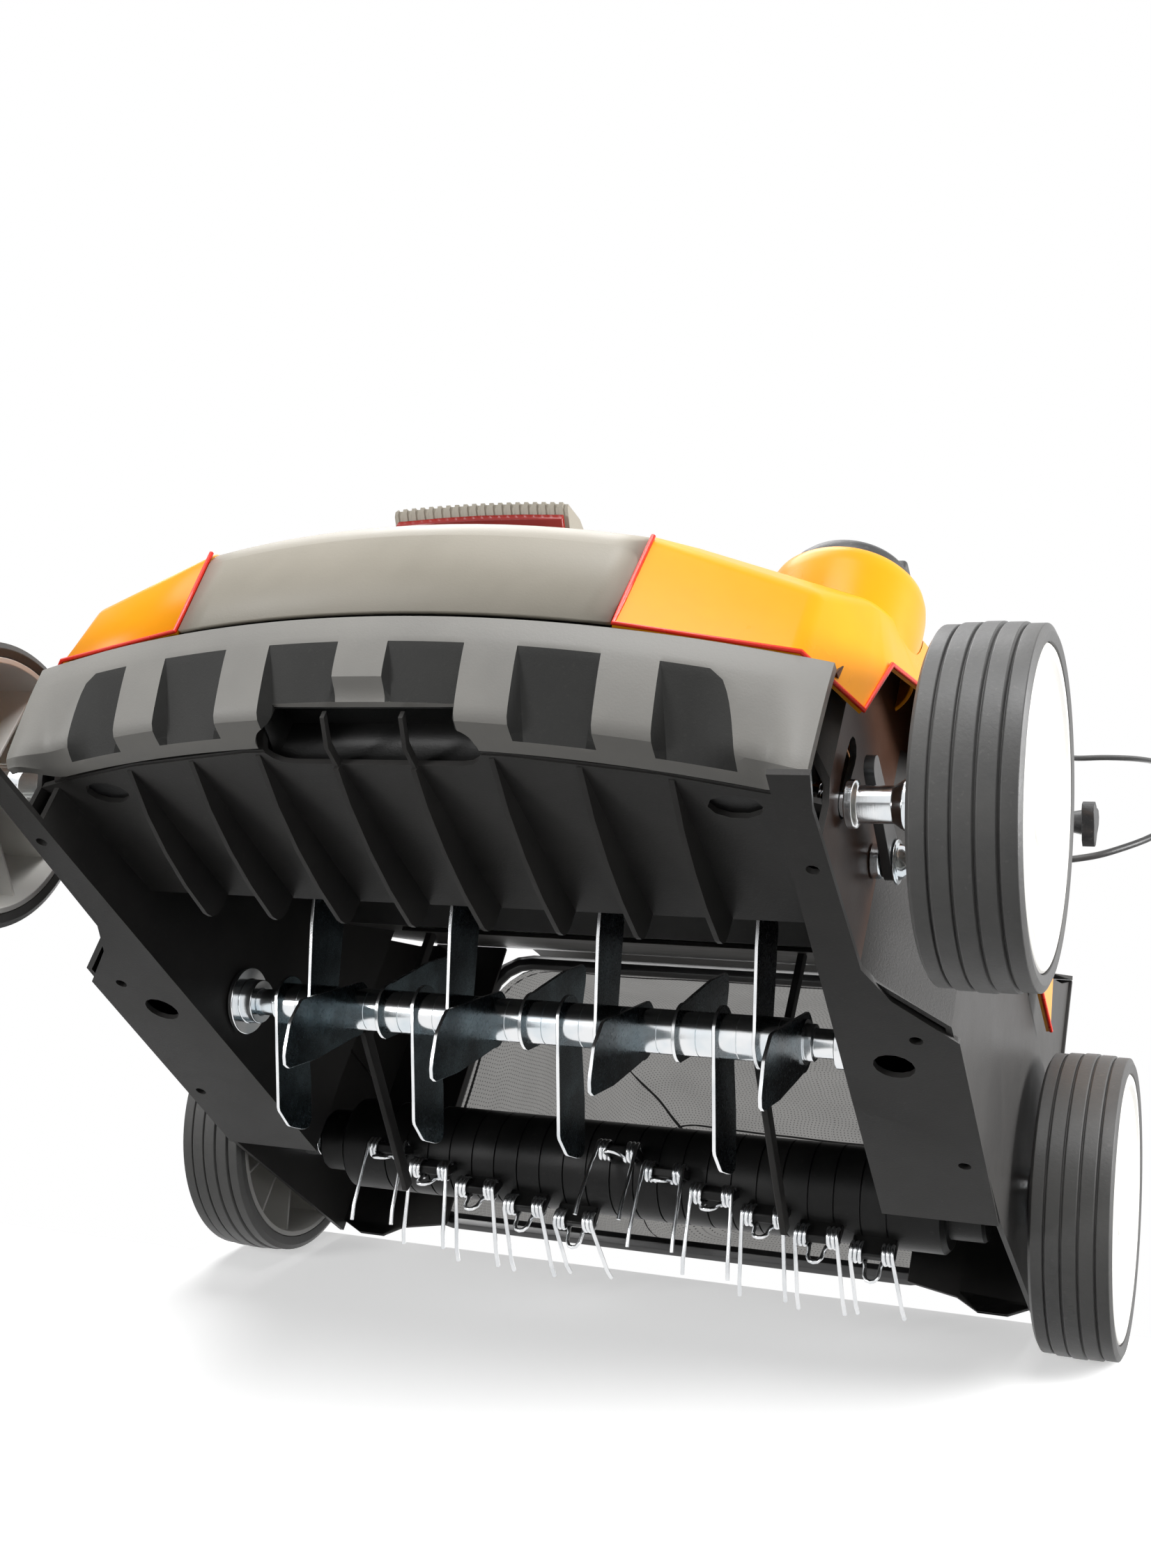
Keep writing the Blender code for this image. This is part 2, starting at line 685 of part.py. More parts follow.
COVER_SKIN = 0.0025
STATIONS = [
    ((0.0, -0.0880, 0.1190), (0.1154, -0.0774, 0.1190), (0.1977, -0.0567, 0.1190)),
    ((0.0, -0.0860, 0.1790), (0.1200, -0.0740, 0.1760), (0.1980, -0.0510, 0.1600)),
    ((0.0, -0.0300, 0.2260), (0.1230, -0.0220, 0.2180), (0.2120, -0.0160, 0.1870)),
    ((0.0, 0.0600, 0.2850), (0.1250, 0.0600, 0.2620), (0.2240, 0.0400, 0.2130)),
    ((0.0, 0.2000, 0.3250), (0.1280, 0.2000, 0.3080), (0.2400, 0.1800, 0.2580)),
    ((0.0, 0.3550, 0.3350), (0.1300, 0.3550, 0.3180), (0.2500, 0.3550, 0.3050)),
    ((0.0, 0.4700, 0.3250), (0.1300, 0.4700, 0.3120), None),
    ((0.0, 0.4780, 0.2975), (0.1300, 0.4780, 0.2975), None),
]
# lower edge of the orange side from the spike at the front corner to the rear
LOWER_EDGE = [(0.1977, -0.0567, 0.1190), (0.2225, -0.0300, 0.1080), (0.2255, -0.0120, 0.1500),
              (0.2325, 0.0300, 0.1690), (0.2530, 0.1800, 0.1780), (0.2570, 0.3550, 0.1740)]


def skin(name, rows, thickness=COVER_SKIN):
    """A sheet through rows of points, thickened inwards."""
    bm = bmesh.new()
    grid = [[bm.verts.new(point) for point in row] for row in rows]
    for lower, upper in zip(grid, grid[1:]):
        for index in range(len(lower) - 1):
            bm.faces.new((lower[index], lower[index + 1], upper[index + 1], upper[index]))
    bmesh.ops.remove_doubles(bm, verts=bm.verts, dist=WELD)
    made = mesh_object(name, bm)
    up = sum((face.normal.z for face in made.data.polygons))
    solid = made.modifiers.new("shell", "SOLIDIFY")
    solid.thickness = thickness
    solid.offset = -1.0 if up > 0 else 1.0
    solid.use_even_offset = True
    solid.use_quality_normals = True
    return bake(made)


def middle_row(station, inset):
    """Points across the grey part of one station, crowned between the seams."""
    centre, seam, _ = station
    edge = seam[0] - inset
    row = []
    for step in range(-4, 5):
        share = step / 4
        bend = share * share
        row.append((edge * share, centre[1] + (seam[1] - centre[1]) * bend,
                    centre[2] + (seam[2] - centre[2]) * bend))
    return row


def moved(station, dy):
    return tuple((point[0], point[1] + dy, point[2]) if point else None for point in station)


def hood_cover():
    rows = [middle_row(STATIONS[0], GAP), middle_row(STATIONS[1], GAP),
            middle_row(moved(STATIONS[2], -0.0006), GAP)]
    return finish(skin("hood_cover", rows), GREY)


def battery_lid(holder):
    rows = [middle_row(station, GAP) for station in STATIONS[2:4]]
    rows.append(middle_row(moved(STATIONS[4], -0.0004), GAP))
    lid = skin("battery_lid", rows)
    grip = plate("grip", "X", -0.0375, 0.0375,
                 [(-0.0272, 0.2262), (-0.0280, 0.2300), (-0.0392, 0.2372), (-0.0402, 0.2400),
                  (-0.0240, 0.2450), (-0.0050, 0.2440), (-0.0050, 0.2405)])
    join(lid, grip)
    return finish(lid, GREY, holder)


def rear_cover():
    rows = [middle_row(moved(STATIONS[4], 0.0004), GAP)]
    rows += [middle_row(station, GAP) for station in STATIONS[5:]]
    return finish(skin("rear_cover", rows), BLACK)


def side_cover(name):
    seam = [station[1] for station in STATIONS[:6]]
    shoulder = [station[2] for station in STATIONS[:6]]
    shoulder.insert(3, (0.2150, -0.0080, 0.1900))
    seam.insert(3, (0.1235, -0.0140, 0.2230))
    bm = bmesh.new()
    seam_line = [bm.verts.new((x + GAP, y, z)) for x, y, z in seam]
    shoulder_line = [bm.verts.new(point) for point in shoulder]
    lower_line = [shoulder_line[0]] + [bm.verts.new(point) for point in LOWER_EDGE[1:]]
    for index in range(len(seam_line) - 1):
        bm.faces.new((seam_line[index], shoulder_line[index], shoulder_line[index + 1], seam_line[index + 1]))
    sides = shoulder_line[1:]
    for index in range(len(lower_line) - 1):
        bm.faces.new((lower_line[index], lower_line[index + 1], sides[index + 1], sides[index]))
    made = mesh_object(name, bm)
    up = sum((face.normal.z for face in made.data.polygons))
    solid = made.modifiers.new("shell", "SOLIDIFY")
    solid.thickness = COVER_SKIN
    solid.offset = -1.0 if up > 0 else 1.0
    solid.use_even_offset = True
    return bake(made)


def side_covers():
    right = side_cover("side_cover_right")
    left = mirrored(right, "side_cover_left")
    cut(right, cylinder("turret_hole", "Z", (*TURRET, 0), TURRET_RADIUS + GAP, 0.10, 0.30, 24))
    return [finish(right, ORANGE), finish(left, ORANGE)]


# Depth turret on the right side

def turret_cup():
    outer = TURRET_RADIUS
    top = TURRET_TOP
    profile = [(outer - 0.0035, top), (outer, top - 0.0100), (outer, 0.1790), (outer - 0.002, 0.1790),
               (outer - 0.002, top - 0.0200), (SPINDLE_RADIUS + 0.001, top - 0.0200),
               (SPINDLE_RADIUS + 0.001, top - 0.0170), (outer - 0.0070, top - 0.0170), (outer - 0.0070, top)]
    return finish(turned("turret_cup", "Z", (*TURRET, 0), profile, 24, hollow=True), ORANGE)


def depth_knob(holder):
    floor = TURRET_TOP - 0.0170 + 0.0004
    radius = TURRET_RADIUS - 0.0080
    top = TURRET_TOP + KNOB_RISE
    profile = [(0, top), (radius - 0.006, top), (radius, top - 0.005), (radius, floor), (0, floor)]
    knob = turned("depth_knob", "Z", (*TURRET, 0), profile, 20)
    reach = radius - 0.0035
    bar = soft_box("bar", (TURRET[0] - reach, TURRET[1] - 0.008, floor + 0.010),
                   (TURRET[0] + reach, TURRET[1] + 0.008, top + KNOB_BAR), 0.003)
    return finish(join(knob, bar), BLACK, holder)


def depth_spindle(holder):
    seat = 0.0712
    top = TURRET_TOP - 0.0170 + 0.0001
    profile = [(0, top), (SPINDLE_RADIUS, top), (SPINDLE_RADIUS, seat), (0, seat)]
    return finish(turned("depth_spindle", "Z", (*TURRET, 0), profile, 16), ZINC, holder)


def depth_nut(holder):
    low = FRONT_AXLE[1] + AXLE_RADIUS + GAP
    nut = soft_box("depth_nut", (TURRET[0] - 0.013, -0.0100, low), (TURRET[0] + 0.0125, 0.0400, low + 0.012), 0.0015, 1)
    cut(nut, cylinder("bore", "Z", (*TURRET, 0), SPINDLE_RADIUS + RUN, 0.05, 0.15, 16))
    return finish(nut, BLACK, holder)


# Front axle, cranks and wheels

def front_axle(holder):
    """The axle turned with a collar inside each wheel and one against the deck's wall."""
    end = FRONT_TRACK + 0.0115
    hub = FRONT_TRACK - WHEEL_WIDTH / 2 + 0.0025
    wall = FRONT_WALL_X + 0.0030
    half = [(0, end), (AXLE_RADIUS, end), (AXLE_RADIUS, hub), (0.0090, hub), (0.0120, hub - 0.0030),
            (0.0120, hub - 0.0180), (0.0085, hub - 0.0230), (0.0085, wall + 0.0050), (0.0110, wall + 0.0040),
            (0.0110, wall), (AXLE_RADIUS, wall)]
    profile = half + [(radius, -height) for radius, height in half[::-1]]
    return finish(turned("front_axle", "X", (0, *FRONT_AXLE), profile, 14), ZINC, holder)


def crank_frame(holder):
    holes = [circle(FRONT_AXLE, AXLE_RADIUS + RUN, 14)]
    arm = plate("crank_frame", "X", *CRANK_X, eye_bar(FRONT_AXLE, CRANK_EYE, CRANK_PIVOT, CRANK_EYE), holes)
    other = mirrored(arm, "arm_left")
    tube = cylinder("tube", "X", (0, *CRANK_PIVOT), CRANK_TUBE, -CRANK_X[0] - 0.002, CRANK_X[0] + 0.002, 16)
    frame = join(arm, other, tube)
    cut(frame, cylinder("bore", "X", (0, *CRANK_PIVOT), PIVOT_BOLT + RUN, -0.215, 0.215, 12))
    return finish(frame, DARK_STEEL, holder)


def crank_rod():
    """The long bolt on which the cranks turn, with a head against each side wall."""
    head = FRONT_WALL_X + GAP
    half = [(0, head + 0.0060), (0.0070, head + 0.0060), (0.0085, head + 0.0045), (0.0085, head), (PIVOT_BOLT, head)]
    profile = half + [(radius, -height) for radius, height in half[::-1]]
    return finish(turned("crank_rod", "X", (0, *CRANK_PIVOT), profile, 12), ZINC)


def wheel_disc(name, radius):
    """The disc is closed outside and ribbed inside, with a blind bore for the axle."""
    rim = radius * (1 - TYRE_SHARE)
    half = WHEEL_WIDTH / 2
    bore = AXLE_RADIUS + RUN
    profile = [(0, half - 0.0040), (rim - 0.006, half - 0.0005), (rim, half - 0.0015),
               (rim, 0.0005 - half), (rim - 0.003, 0.0005 - half), (rim - 0.004, half - 0.0055),
               (0.0125, half - 0.0075), (0.0125, 0.003 - half), (bore, 0.003 - half),
               (bore, half - 0.0110), (0, half - 0.0110)]
    disc = turned(name, "X", (0, 0, 0), profile, FACETS)
    ribs = []
    for index in range(6):
        rib = box("rib", (0.006 - half, 0.0118, -0.0010), (half - 0.0065, rim - 0.0025, 0.0010))
        transform(rib, Matrix.Rotation(math.radians(60 * index + 30), 4, "X"))
        ribs.append(rib)
    return join(disc, *ribs)


def tyre(name, radius):
    inner = radius * (1 - TYRE_SHARE) + GAP
    half = WHEEL_WIDTH / 2
    band = WHEEL_WIDTH / 5
    low = radius - TREAD_STEP
    profile = [(low, half), (radius, half - band), (low, half - band), (radius, half - 2 * band),
               (radius, 2 * band - half), (low, band - half), (radius, band - half), (low, -half),
               (inner, -half), (inner, half)]
    return turned(name, "X", (0, 0, 0), profile, FACETS, hollow=True)


def wheels(carriers):
    for end, radius, track, axle in (("front", FRONT_RADIUS, FRONT_TRACK, FRONT_AXLE),
                                     ("rear", REAR_RADIUS, REAR_TRACK, REAR_AXLE)):
        for side, turn in (("left", 180), ("right", 0)):
            sign = 1 if side == "right" else -1
            place = Matrix.Translation((sign * track, *axle)) @ Matrix.Rotation(math.radians(turn), 4, "Z")
            holder = pivot("hub_" + end + "_" + side, (sign * track, *axle), carriers[end])
            disc = transform(wheel_disc("wheel_" + end + "_" + side, radius), place)
            finish(disc, DISC, holder)
            finish(transform(tyre("tyre_" + end + "_" + side, radius), place), RUBBER, holder)


def rear_axle():
    """Stub axles with a round plate against the deck's side wall."""
    start = REAR_WALL_X + GAP
    end = REAR_TRACK + 0.0115
    profile = [(0, end), (AXLE_RADIUS, end), (AXLE_RADIUS, start + 0.0060), (0.0100, start + 0.0060),
               (0.0180, start + 0.0030), (0.0180, start), (0, start)]
    return pair(turned("rear_axle", "X", (0, *REAR_AXLE), profile, 16), "rear_axle", ZINC)


# Drive

def drive_motor():
    front = -0.1775
    rear = -0.0860
    radius = MOTOR_RADIUS
    profile = [(0, rear), (0.010, rear), (0.012, rear - 0.004), (radius - 0.003, rear - 0.006),
               (radius, rear - 0.010), (radius, front + 0.004), (radius - 0.003, front), (PIVOT_BOLT + RUN, front),
               (PIVOT_BOLT + RUN, front + 0.012), (0, front + 0.012)]
    return finish(turned("drive_motor", "X", (0, *MOTOR_AXIS), profile, 18), DARK_STEEL)


def motor_bracket():
    foot = PAN_RISE + 0.0080
    outline = [(0.0120, foot), (0.0760, foot), (0.0760, 0.1000), (0.0800, 0.1350), (0.0600, 0.1700), (0.0300, 0.1700),
               (0.0120, 0.1350)]
    holes = [circle(MOTOR_AXIS, 0.0060, 12), circle(CRANK_PIVOT, CRANK_TUBE + 0.0015, 12)]
    return finish(plate("motor_bracket", "X", -0.1808, -0.1778, outline, holes), ZINC)


def motor_pulley(holder):
    profile = [(0, -0.1660), (PIVOT_BOLT, -0.1660), (PIVOT_BOLT, -0.1960), (MOTOR_PULLEY, -0.1965),
               (MOTOR_PULLEY, -0.2060), (0.0060, -0.2070), (0, -0.2070)]
    return finish(turned("motor_pulley", "X", (0, *MOTOR_AXIS), profile, 16), ZINC, holder)


def drive_belt():
    inner, outer = [eye_bar(MOTOR_AXIS, MOTOR_PULLEY + extra, BLADE_AXIS, SHAFT_PULLEY + extra, 12)
                    for extra in (2 * GAP, 2 * GAP + BELT_THICK)]
    return finish(plate("drive_belt", "X", -BELT_X[1], -BELT_X[0], outer, [inner]), RUBBER)


def shaft_pulley(holder):
    bore = NECK_RADIUS + 0.0002
    profile = [(SHAFT_PULLEY, 0.0002 - BELT_X[0]), (SHAFT_PULLEY, -BELT_X[1] - 0.0002),
               (bore, -BELT_X[1] - 0.0002), (bore, 0.0002 - BELT_X[0])]
    return finish(turned("shaft_pulley", "X", (0, *BLADE_AXIS), profile, 16, hollow=True), BLACK, holder)


# Blade roller


def blade_shaft(holder):
    profile = [(0, BEARING_SEAT), (NECK_RADIUS, BEARING_SEAT), (NECK_RADIUS, TUBE_HALF), (TUBE_RADIUS, TUBE_HALF),
               (TUBE_RADIUS, -TUBE_HALF), (NECK_RADIUS, -TUBE_HALF), (NECK_RADIUS, -0.2065), (0, -0.2065)]
    return finish(turned("blade_shaft", "X", (0, *BLADE_AXIS), profile, 16), ZINC, holder)


def blade_outline():
    """A blade lying along +U: round hub, straight back, and a tip that is cut to a point."""
    hub = arc((0, 0), 0.0175, 62, 298, 6)
    return hub + [(0.0200, -0.0125), (0.0640, -0.0100), (BLADE_TIP * 0.985, -0.0035), (BLADE_TIP, 0.0020),
                  (0.0680, 0.0105), (0.0200, 0.0140)]


def scarifier_blades(holder):
    """Fifteen blades on one sleeve, which spaces them along the shaft."""
    shape = blade_outline()
    bore = TUBE_RADIUS + GAP
    hole = circle((0, 0), bore + 0.0010, 12)
    span = (BLADE_COUNT - 1) / 2 * BLADE_PITCH + BLADE_THICK
    profile = [(bore + 0.0019, span), (bore + 0.0019, -span), (bore, -span), (bore, span)]
    sleeve = turned("scarifier_blades", "X", (0, *BLADE_AXIS), profile, 16, hollow=True)
    blades = []
    for index in range(BLADE_COUNT):
        x = (index - (BLADE_COUNT - 1) / 2) * BLADE_PITCH
        angle = math.radians(BLADE_ANGLES[index % 4])
        blade = plate("blade", "X", -BLADE_THICK / 2, BLADE_THICK / 2, shape, [hole])
        blades.append(transform(blade, Matrix.Translation((x, *BLADE_AXIS)) @ Matrix.Rotation(angle, 4, "X")))
    return finish(join(sleeve, *blades), BLADE_STEEL, holder)


def blade_bearings():
    bore = NECK_RADIUS + RUN
    profile = [(0.0200, BEARING_SEAT + 0.0002), (0.0200, BEARING_SEAT - 0.0028), (0.0130, BEARING_SEAT - 0.0030),
               (0.0130, BEARING_FACE), (bore, BEARING_FACE), (bore, BEARING_SEAT + 0.0002)]
    return pair(turned("bearing", "X", (0, *BLADE_AXIS), profile, 16, hollow=True), "blade_bearing", ZINC)


# Tine roller

def tine_core(holder):
    """The plastic body of the roller, slotted where the springs reach in to the shaft."""
    half = 0.1900
    bore = TINE_SHAFT + RUN
    profile = [(bore, half + 0.010), (0.018, half + 0.010), (0.020, half),
               (TINE_BODY - 0.003, half), (TINE_BODY, half - 0.004)]
    profile += [(TINE_BODY, 0.004 - half), (TINE_BODY - 0.003, -half), (0.020, -half), (0.018, -half - 0.010),
                (bore, -half - 0.010)]
    core = turned("tine_core", "X", (0, *TINE_AXIS), profile, 20, hollow=True)
    wide = 0.0075
    slots = []
    for index in range(TINE_COUNT):
        slot = box("slot", (-wide, 0.004, -TINE_WIRE - 0.0006), (wide, TINE_BODY + 0.003, TINE_WIRE + 0.0006))
        slots.append(transform(slot, tine_place(index)))
    return finish(cut(core, *slots), BLACK, holder)


def tine_angle(index):
    """The seats climb round the roller in two runs, as a helix does."""
    if index < 5:
        return -112.0 + 15.0 * index
    return -132.0 + 15.0 * (index - 5)


def tine_place(index):
    """Takes a spring drawn standing along +Y on the axis to its seat on the roller."""
    x = (index - (TINE_COUNT - 1) / 2) * TINE_PITCH
    return Matrix.Translation((x, *TINE_AXIS)) @ Matrix.Rotation(math.radians(tine_angle(index)), 4, "X")


def tine_springs(holder):
    """Eleven double springs, each hooked into the steel shaft by the wire between its two coils."""
    end = [(0, TINE_END), (TINE_SHAFT, TINE_END)]
    profile = end + [(radius, -height) for radius, height in end[::-1]]
    shaft = turned("tine_springs", "X", (0, *TINE_AXIS), profile, 16)
    coil_at = TINE_BODY + 0.0090
    coil = 0.0058
    for index in range(TINE_COUNT):
        half = [(0.0135, TINE_TIP, -0.0070), (0.0131, 0.0520, 0.0010)]
        for step in range(6):
            angle = math.radians(45 - 60 * step)
            half.append((0.0128 - 0.0060 * step / 5, coil_at + coil * math.sin(angle), coil * math.cos(angle)))
        half.append((0.0056, TINE_BODY - 0.001, 0.0))
        half.append((0.0056, TINE_SHAFT - 0.001, 0.0))
        path = half + [(-x, y, z) for x, y, z in half[::-1]]
        join(shaft, transform(rod("spring", path, TINE_WIRE, 1), tine_place(index)))
    return finish(shaft, ZINC, holder)


def tine_bearings():
    bore = TINE_SHAFT + RUN
    face = REAR_WALL_X - WALL - GAP
    profile = [(0.0125, face), (0.0125, face - 0.0130), (bore, face - 0.0130), (bore, face)]
    return pair(turned("bearing", "X", (0, *TINE_AXIS), profile, 16, hollow=True), "tine_bearing", ZINC)


def stripper_guard():
    """Two flat bars that hang from a plate on the ceiling and reach forward between the blades."""
    middle = (BLADE_COUNT - 4) / 2 * BLADE_PITCH
    line = [(0.336, 0.0190), (0.228, 0.0680), (0.233, 0.0850), (0.262, 0.1120), (0.262, 0.1630)]
    foot = [(0.245, ceiling_z(0.245) - 0.0005), (0.245, ceiling_z(0.245) - 0.0035),
            (0.285, ceiling_z(0.285) - 0.0035), (0.285, ceiling_z(0.285) - 0.0005)]
    bars = [plate("bar", "X", side * middle - 0.0020, side * middle + 0.0020, ribbon(line, 0.0080)) for side in (-1, 1)]
    return finish(join(plate("stripper_guard", "X", -middle - 0.012, middle + 0.012, foot), *bars), BLACK)


# Battery

def battery_bay():
    bay = box("battery_bay", (-BAY_HALF, BAY_Y[0], BAY_Z[0]), (BAY_HALF, BAY_Y[1], BAY_Z[1]))
    inside = box("inside", (0.0025 - BAY_HALF, BAY_Y[0] + 0.0025, BAY_Z[0] + 0.0025),
                 (BAY_HALF - 0.0025, BAY_Y[1] - 0.0025, BAY_Z[1] + 0.01))
    cut(bay, inside)
    legs = []
    for x in (-0.079, 0.079):
        legs.append(box("leg", (x - 0.005, BAY_Y[0] + 0.008, PAN_RISE + 0.0050), (x + 0.005, BAY_Y[0] + 0.018, BAY_Z[0] + 0.001)))
        roof = BLADE_AXIS[1] + CHAMBER_RADIUS + WALL + GAP
        legs.append(box("leg", (x - 0.005, BAY_Y[1] - 0.008, roof), (x + 0.005, BAY_Y[1] - 0.001, BAY_Z[0] + 0.001)))
    return finish(join(bay, *legs), BLACK)


PACK_LOW = BAY_Z[0] + 0.0025 + GAP
PACK_TOP = PACK_LOW + 0.060
RELEASE = (0.0125, 0.088, 0.100)     # half width, front and rear of the button


def battery_pack():
    pack = soft_box("battery_pack", (-0.0420, BAY_Y[0] + 0.006, PACK_LOW), (0.0420, BAY_Y[1] - 0.012, PACK_LOW + 0.048), 0.005)
    cap = soft_box("cap", (-0.0360, BAY_Y[0] + 0.014, PACK_LOW + 0.030), (0.0360, BAY_Y[1] - 0.060, PACK_TOP), 0.004)
    half, front, rear = RELEASE
    well = box("well", (-half - GAP, front - GAP, PACK_TOP - 0.0100), (half + GAP, rear + GAP, PACK_TOP + 0.01))
    return finish(cut(join(pack, cap), well), BLACK)


def battery_release(holder):
    half, front, rear = RELEASE
    low = PACK_TOP - 0.0055
    return finish(soft_box("battery_release", (-half, front, low), (half, rear, PACK_TOP + 0.0030), 0.0015), RED, holder)


# Rear flap

def rear_flap(holder):
    line = [(FLAP_ROD[0] + 0.0045, FLAP_ROD[1] + 0.001), (0.530, 0.3155), (0.618, bag_top(0.618) + 0.0022)]
    flap = plate("rear_flap", "X", -0.1840, 0.1840, ribbon(line, 0.0030))
    eye = plate("eye", "X", -0.1840, 0.1840, circle(FLAP_ROD, 0.0062, 12))
    join(flap, eye)
    cut(flap, cylinder("bore", "X", (0, *FLAP_ROD), 0.0033, -0.2, 0.2, 10))
    return finish(flap, BLACK, holder)


def flap_rod():
    return finish(cylinder("flap_rod", "X", (0, *FLAP_ROD), 0.0030, -0.1930, 0.1930, 10), ZINC)


# Bag: sections from the mouth to the closed end, as (y, half width, low, high)

BAG_SECTIONS = [(0.4998, 0.1950, 0.0640, 0.2830), (0.560, 0.1900, 0.0900, 0.3120), (0.640, 0.1900, 0.1220, 0.3420),
                (0.740, 0.1850, 0.1640, 0.3480), (0.830, 0.1740, 0.2020, 0.3360), (0.878, 0.1540, 0.2240, 0.3140),
                (0.892, 0.1200, 0.2400, 0.2980)]


def bag_top(y):
    for (y0, _, _, z0), (y1, _, _, z1) in zip(BAG_SECTIONS, BAG_SECTIONS[1:]):
        if y <= y1:
            return z0 + (z1 - z0) * (y - y0) / (y1 - y0)
    return BAG_SECTIONS[-1][3]


def bag_ring(y, half, low, high, inset):
    corner = min(0.040, (high - low) / 2 - 0.004)
    points = []
    for cx, cz, start in ((half - corner, high - corner, 0), (corner - half, high - corner, 90),
                          (corner - half, low + corner, 180), (half - corner, low + corner, 270)):
        points += [(px, y, pz) for px, pz in arc((cx, cz), corner - inset, start, start + 90, 3)]
    return points


def bag_fabric(holder):
    bm = bmesh.new()
    outer = [bag_ring(*section, 0.0) for section in BAG_SECTIONS]
    inner = []
    for y, half, low, high in BAG_SECTIONS:
        inner.append(bag_ring(y - (BAG_SKIN if y > 0.85 else 0.0), half, low, high, BAG_SKIN))
    rings = [[bm.verts.new(point) for point in ring] for ring in outer + inner[::-1]]
    middle = len(outer)
    for index, (first, second) in enumerate(zip(rings, rings[1:])):
        if index == middle - 1:
            bm.faces.new(first)
            bm.faces.new(second)
            continue
        for step in range(len(first)):
            after = (step + 1) % len(first)
            bm.faces.new((first[step], first[after], second[after], second[step]))
    for step in range(len(rings[0])):
        after = (step + 1) % len(rings[0])
        bm.faces.new((rings[-1][step], rings[-1][after], rings[0][after], rings[0][step]))
    return finish(mesh_object("bag_fabric", bm), MESH, holder)


def bag_frame(holder):
    half = FRAME_HALF
    low, high = FRAME_Z
    corner = 0.030
    ring = []
    for cx, cz, start in ((half - corner, high - corner, 0), (corner - half, high - corner, 90),
                          (corner - half, low + corner, 180), (half - corner, low + corner, 270)):
        ring += [(px, FRAME_Y, pz) for px, pz in arc((cx, cz), corner, start, start + 90, 4)]
    return finish(rod("bag_frame", ring, FRAME_TUBE, 2, closed=True), DARK_STEEL, holder)


def bag_handle(holder):
    front, rear = 0.655, 0.735
    rise = 0.040
    radius = 0.0060
    foot_front = bag_top(front) + radius + 0.0005
    foot_rear = bag_top(rear) + radius + 0.0005
    path = rounded_path([(0, front - 0.012, bag_top(front - 0.012) + radius + 0.0005), (0, front, foot_front),
                         (0, front + 0.012, foot_front + rise), (0, rear - 0.012, foot_rear + rise),
                         (0, rear, foot_rear), (0, rear + 0.004, bag_top(rear + 0.004) + radius + 0.0005)], 0.004, 2)
    return finish(rod("bag_handle", path, radius, 2), BLACK, holder)


# Handle: drawn lying along +Y from its pivot, then raised to its working angle

RAISE = Matrix.Translation((0, *HANDLE_PIVOT)) @ Matrix.Rotation(HANDLE_ANGLE, 4, "X")


def on_handle(x, along, above=0.0):
    return RAISE @ Vector((x, along, above))


def bolt_cutter(along):
    return cylinder("bolt_hole", "X", (0, along, 0), CLAMP_BOLT + RUN, -0.3, 0.3, 12)


def lower_tube(name, side, holder):
    start = (side * LOWER_X, -0.0110, 0)
    end = (side * LOWER_X, LOWER_LENGTH, 0)
    tube = rod(name, [start, end], HANDLE_TUBE, 5)
    cut(tube, bolt_cutter(0.0), bolt_cutter(FOLD_AT))
    return finish(transform(tube, RAISE), ZINC, holder)


def upper_x(along):
    share = (along - FOLD_AT - 0.030) / (UPPER_TOP - FOLD_AT - 0.030)
    return UPPER_X + (UPPER_TOP_X - UPPER_X) * share


def upper_tube(holder):
    start = FOLD_AT - 0.015
    corners = [(UPPER_X, start, 0), (UPPER_X, FOLD_AT + 0.030, 0), (UPPER_TOP_X, UPPER_TOP, 0),
               (-UPPER_TOP_X, UPPER_TOP, 0), (-UPPER_X, FOLD_AT + 0.030, 0), (-UPPER_X, start, 0)]
    path = rounded_path(corners, UPPER_BEND, 3)
    tube = rod("upper_tube", path, HANDLE_TUBE, 4)
    cut(tube, bolt_cutter(FOLD_AT))
    return finish(transform(tube, RAISE), ZINC, holder)


def handle_grip(holder):
    """One foam sleeve along the crossbar, under the switch box."""
    inner = HANDLE_TUBE + GAP
    high = UPPER_TOP_X - UPPER_BEND - 0.002
    profile = [(GRIP_RADIUS - 0.0015, high), (GRIP_RADIUS, high - 0.004), (GRIP_RADIUS, 0.004 - high),
               (GRIP_RADIUS - 0.0015, -high), (inner, -high), (inner, high)]
    grip = turned("handle_grip", "X", (0, UPPER_TOP, 0), profile, 16, hollow=True)
    return finish(transform(grip, RAISE), FOAM, holder)


def switch_box(holder):
    case = soft_box("switch_box", (-0.0450, UPPER_TOP - 0.085, -0.0270), (0.0450, UPPER_TOP + 0.019, 0.0210), 0.007, 2)
    tube = cylinder("tube", "X", (0, UPPER_TOP, 0), GRIP_RADIUS + GAP, -0.1, 0.1, 16)
    well = cylinder("well", "Z", (0, UPPER_TOP - 0.060, 0), 0.0085 + RUN, 0.0100, 0.0300, 16)
    pins = [cylinder("pin", "X", (0, *BAIL_PIVOT), 0.0035 + RUN, sign * 0.0400 - 0.008, sign * 0.0400 + 0.008, 10)
            for sign in (-1, 1)]
    cut(case, tube, well, *pins)
    return finish(transform(case, RAISE), BLACK, holder)


BAIL_PIVOT = (UPPER_TOP - 0.055, 0.0060)
BAIL_ROD = 0.0035


def lock_button(holder):
    profile = [(0, 0.0270), (0.0060, 0.0270), (0.0085, 0.0250), (0.0085, 0.0145), (0, 0.0145)]
    button = turned("lock_button", "Z", (0, UPPER_TOP - 0.060, 0), profile, 16)
    return finish(transform(button, RAISE), ORANGE, holder)


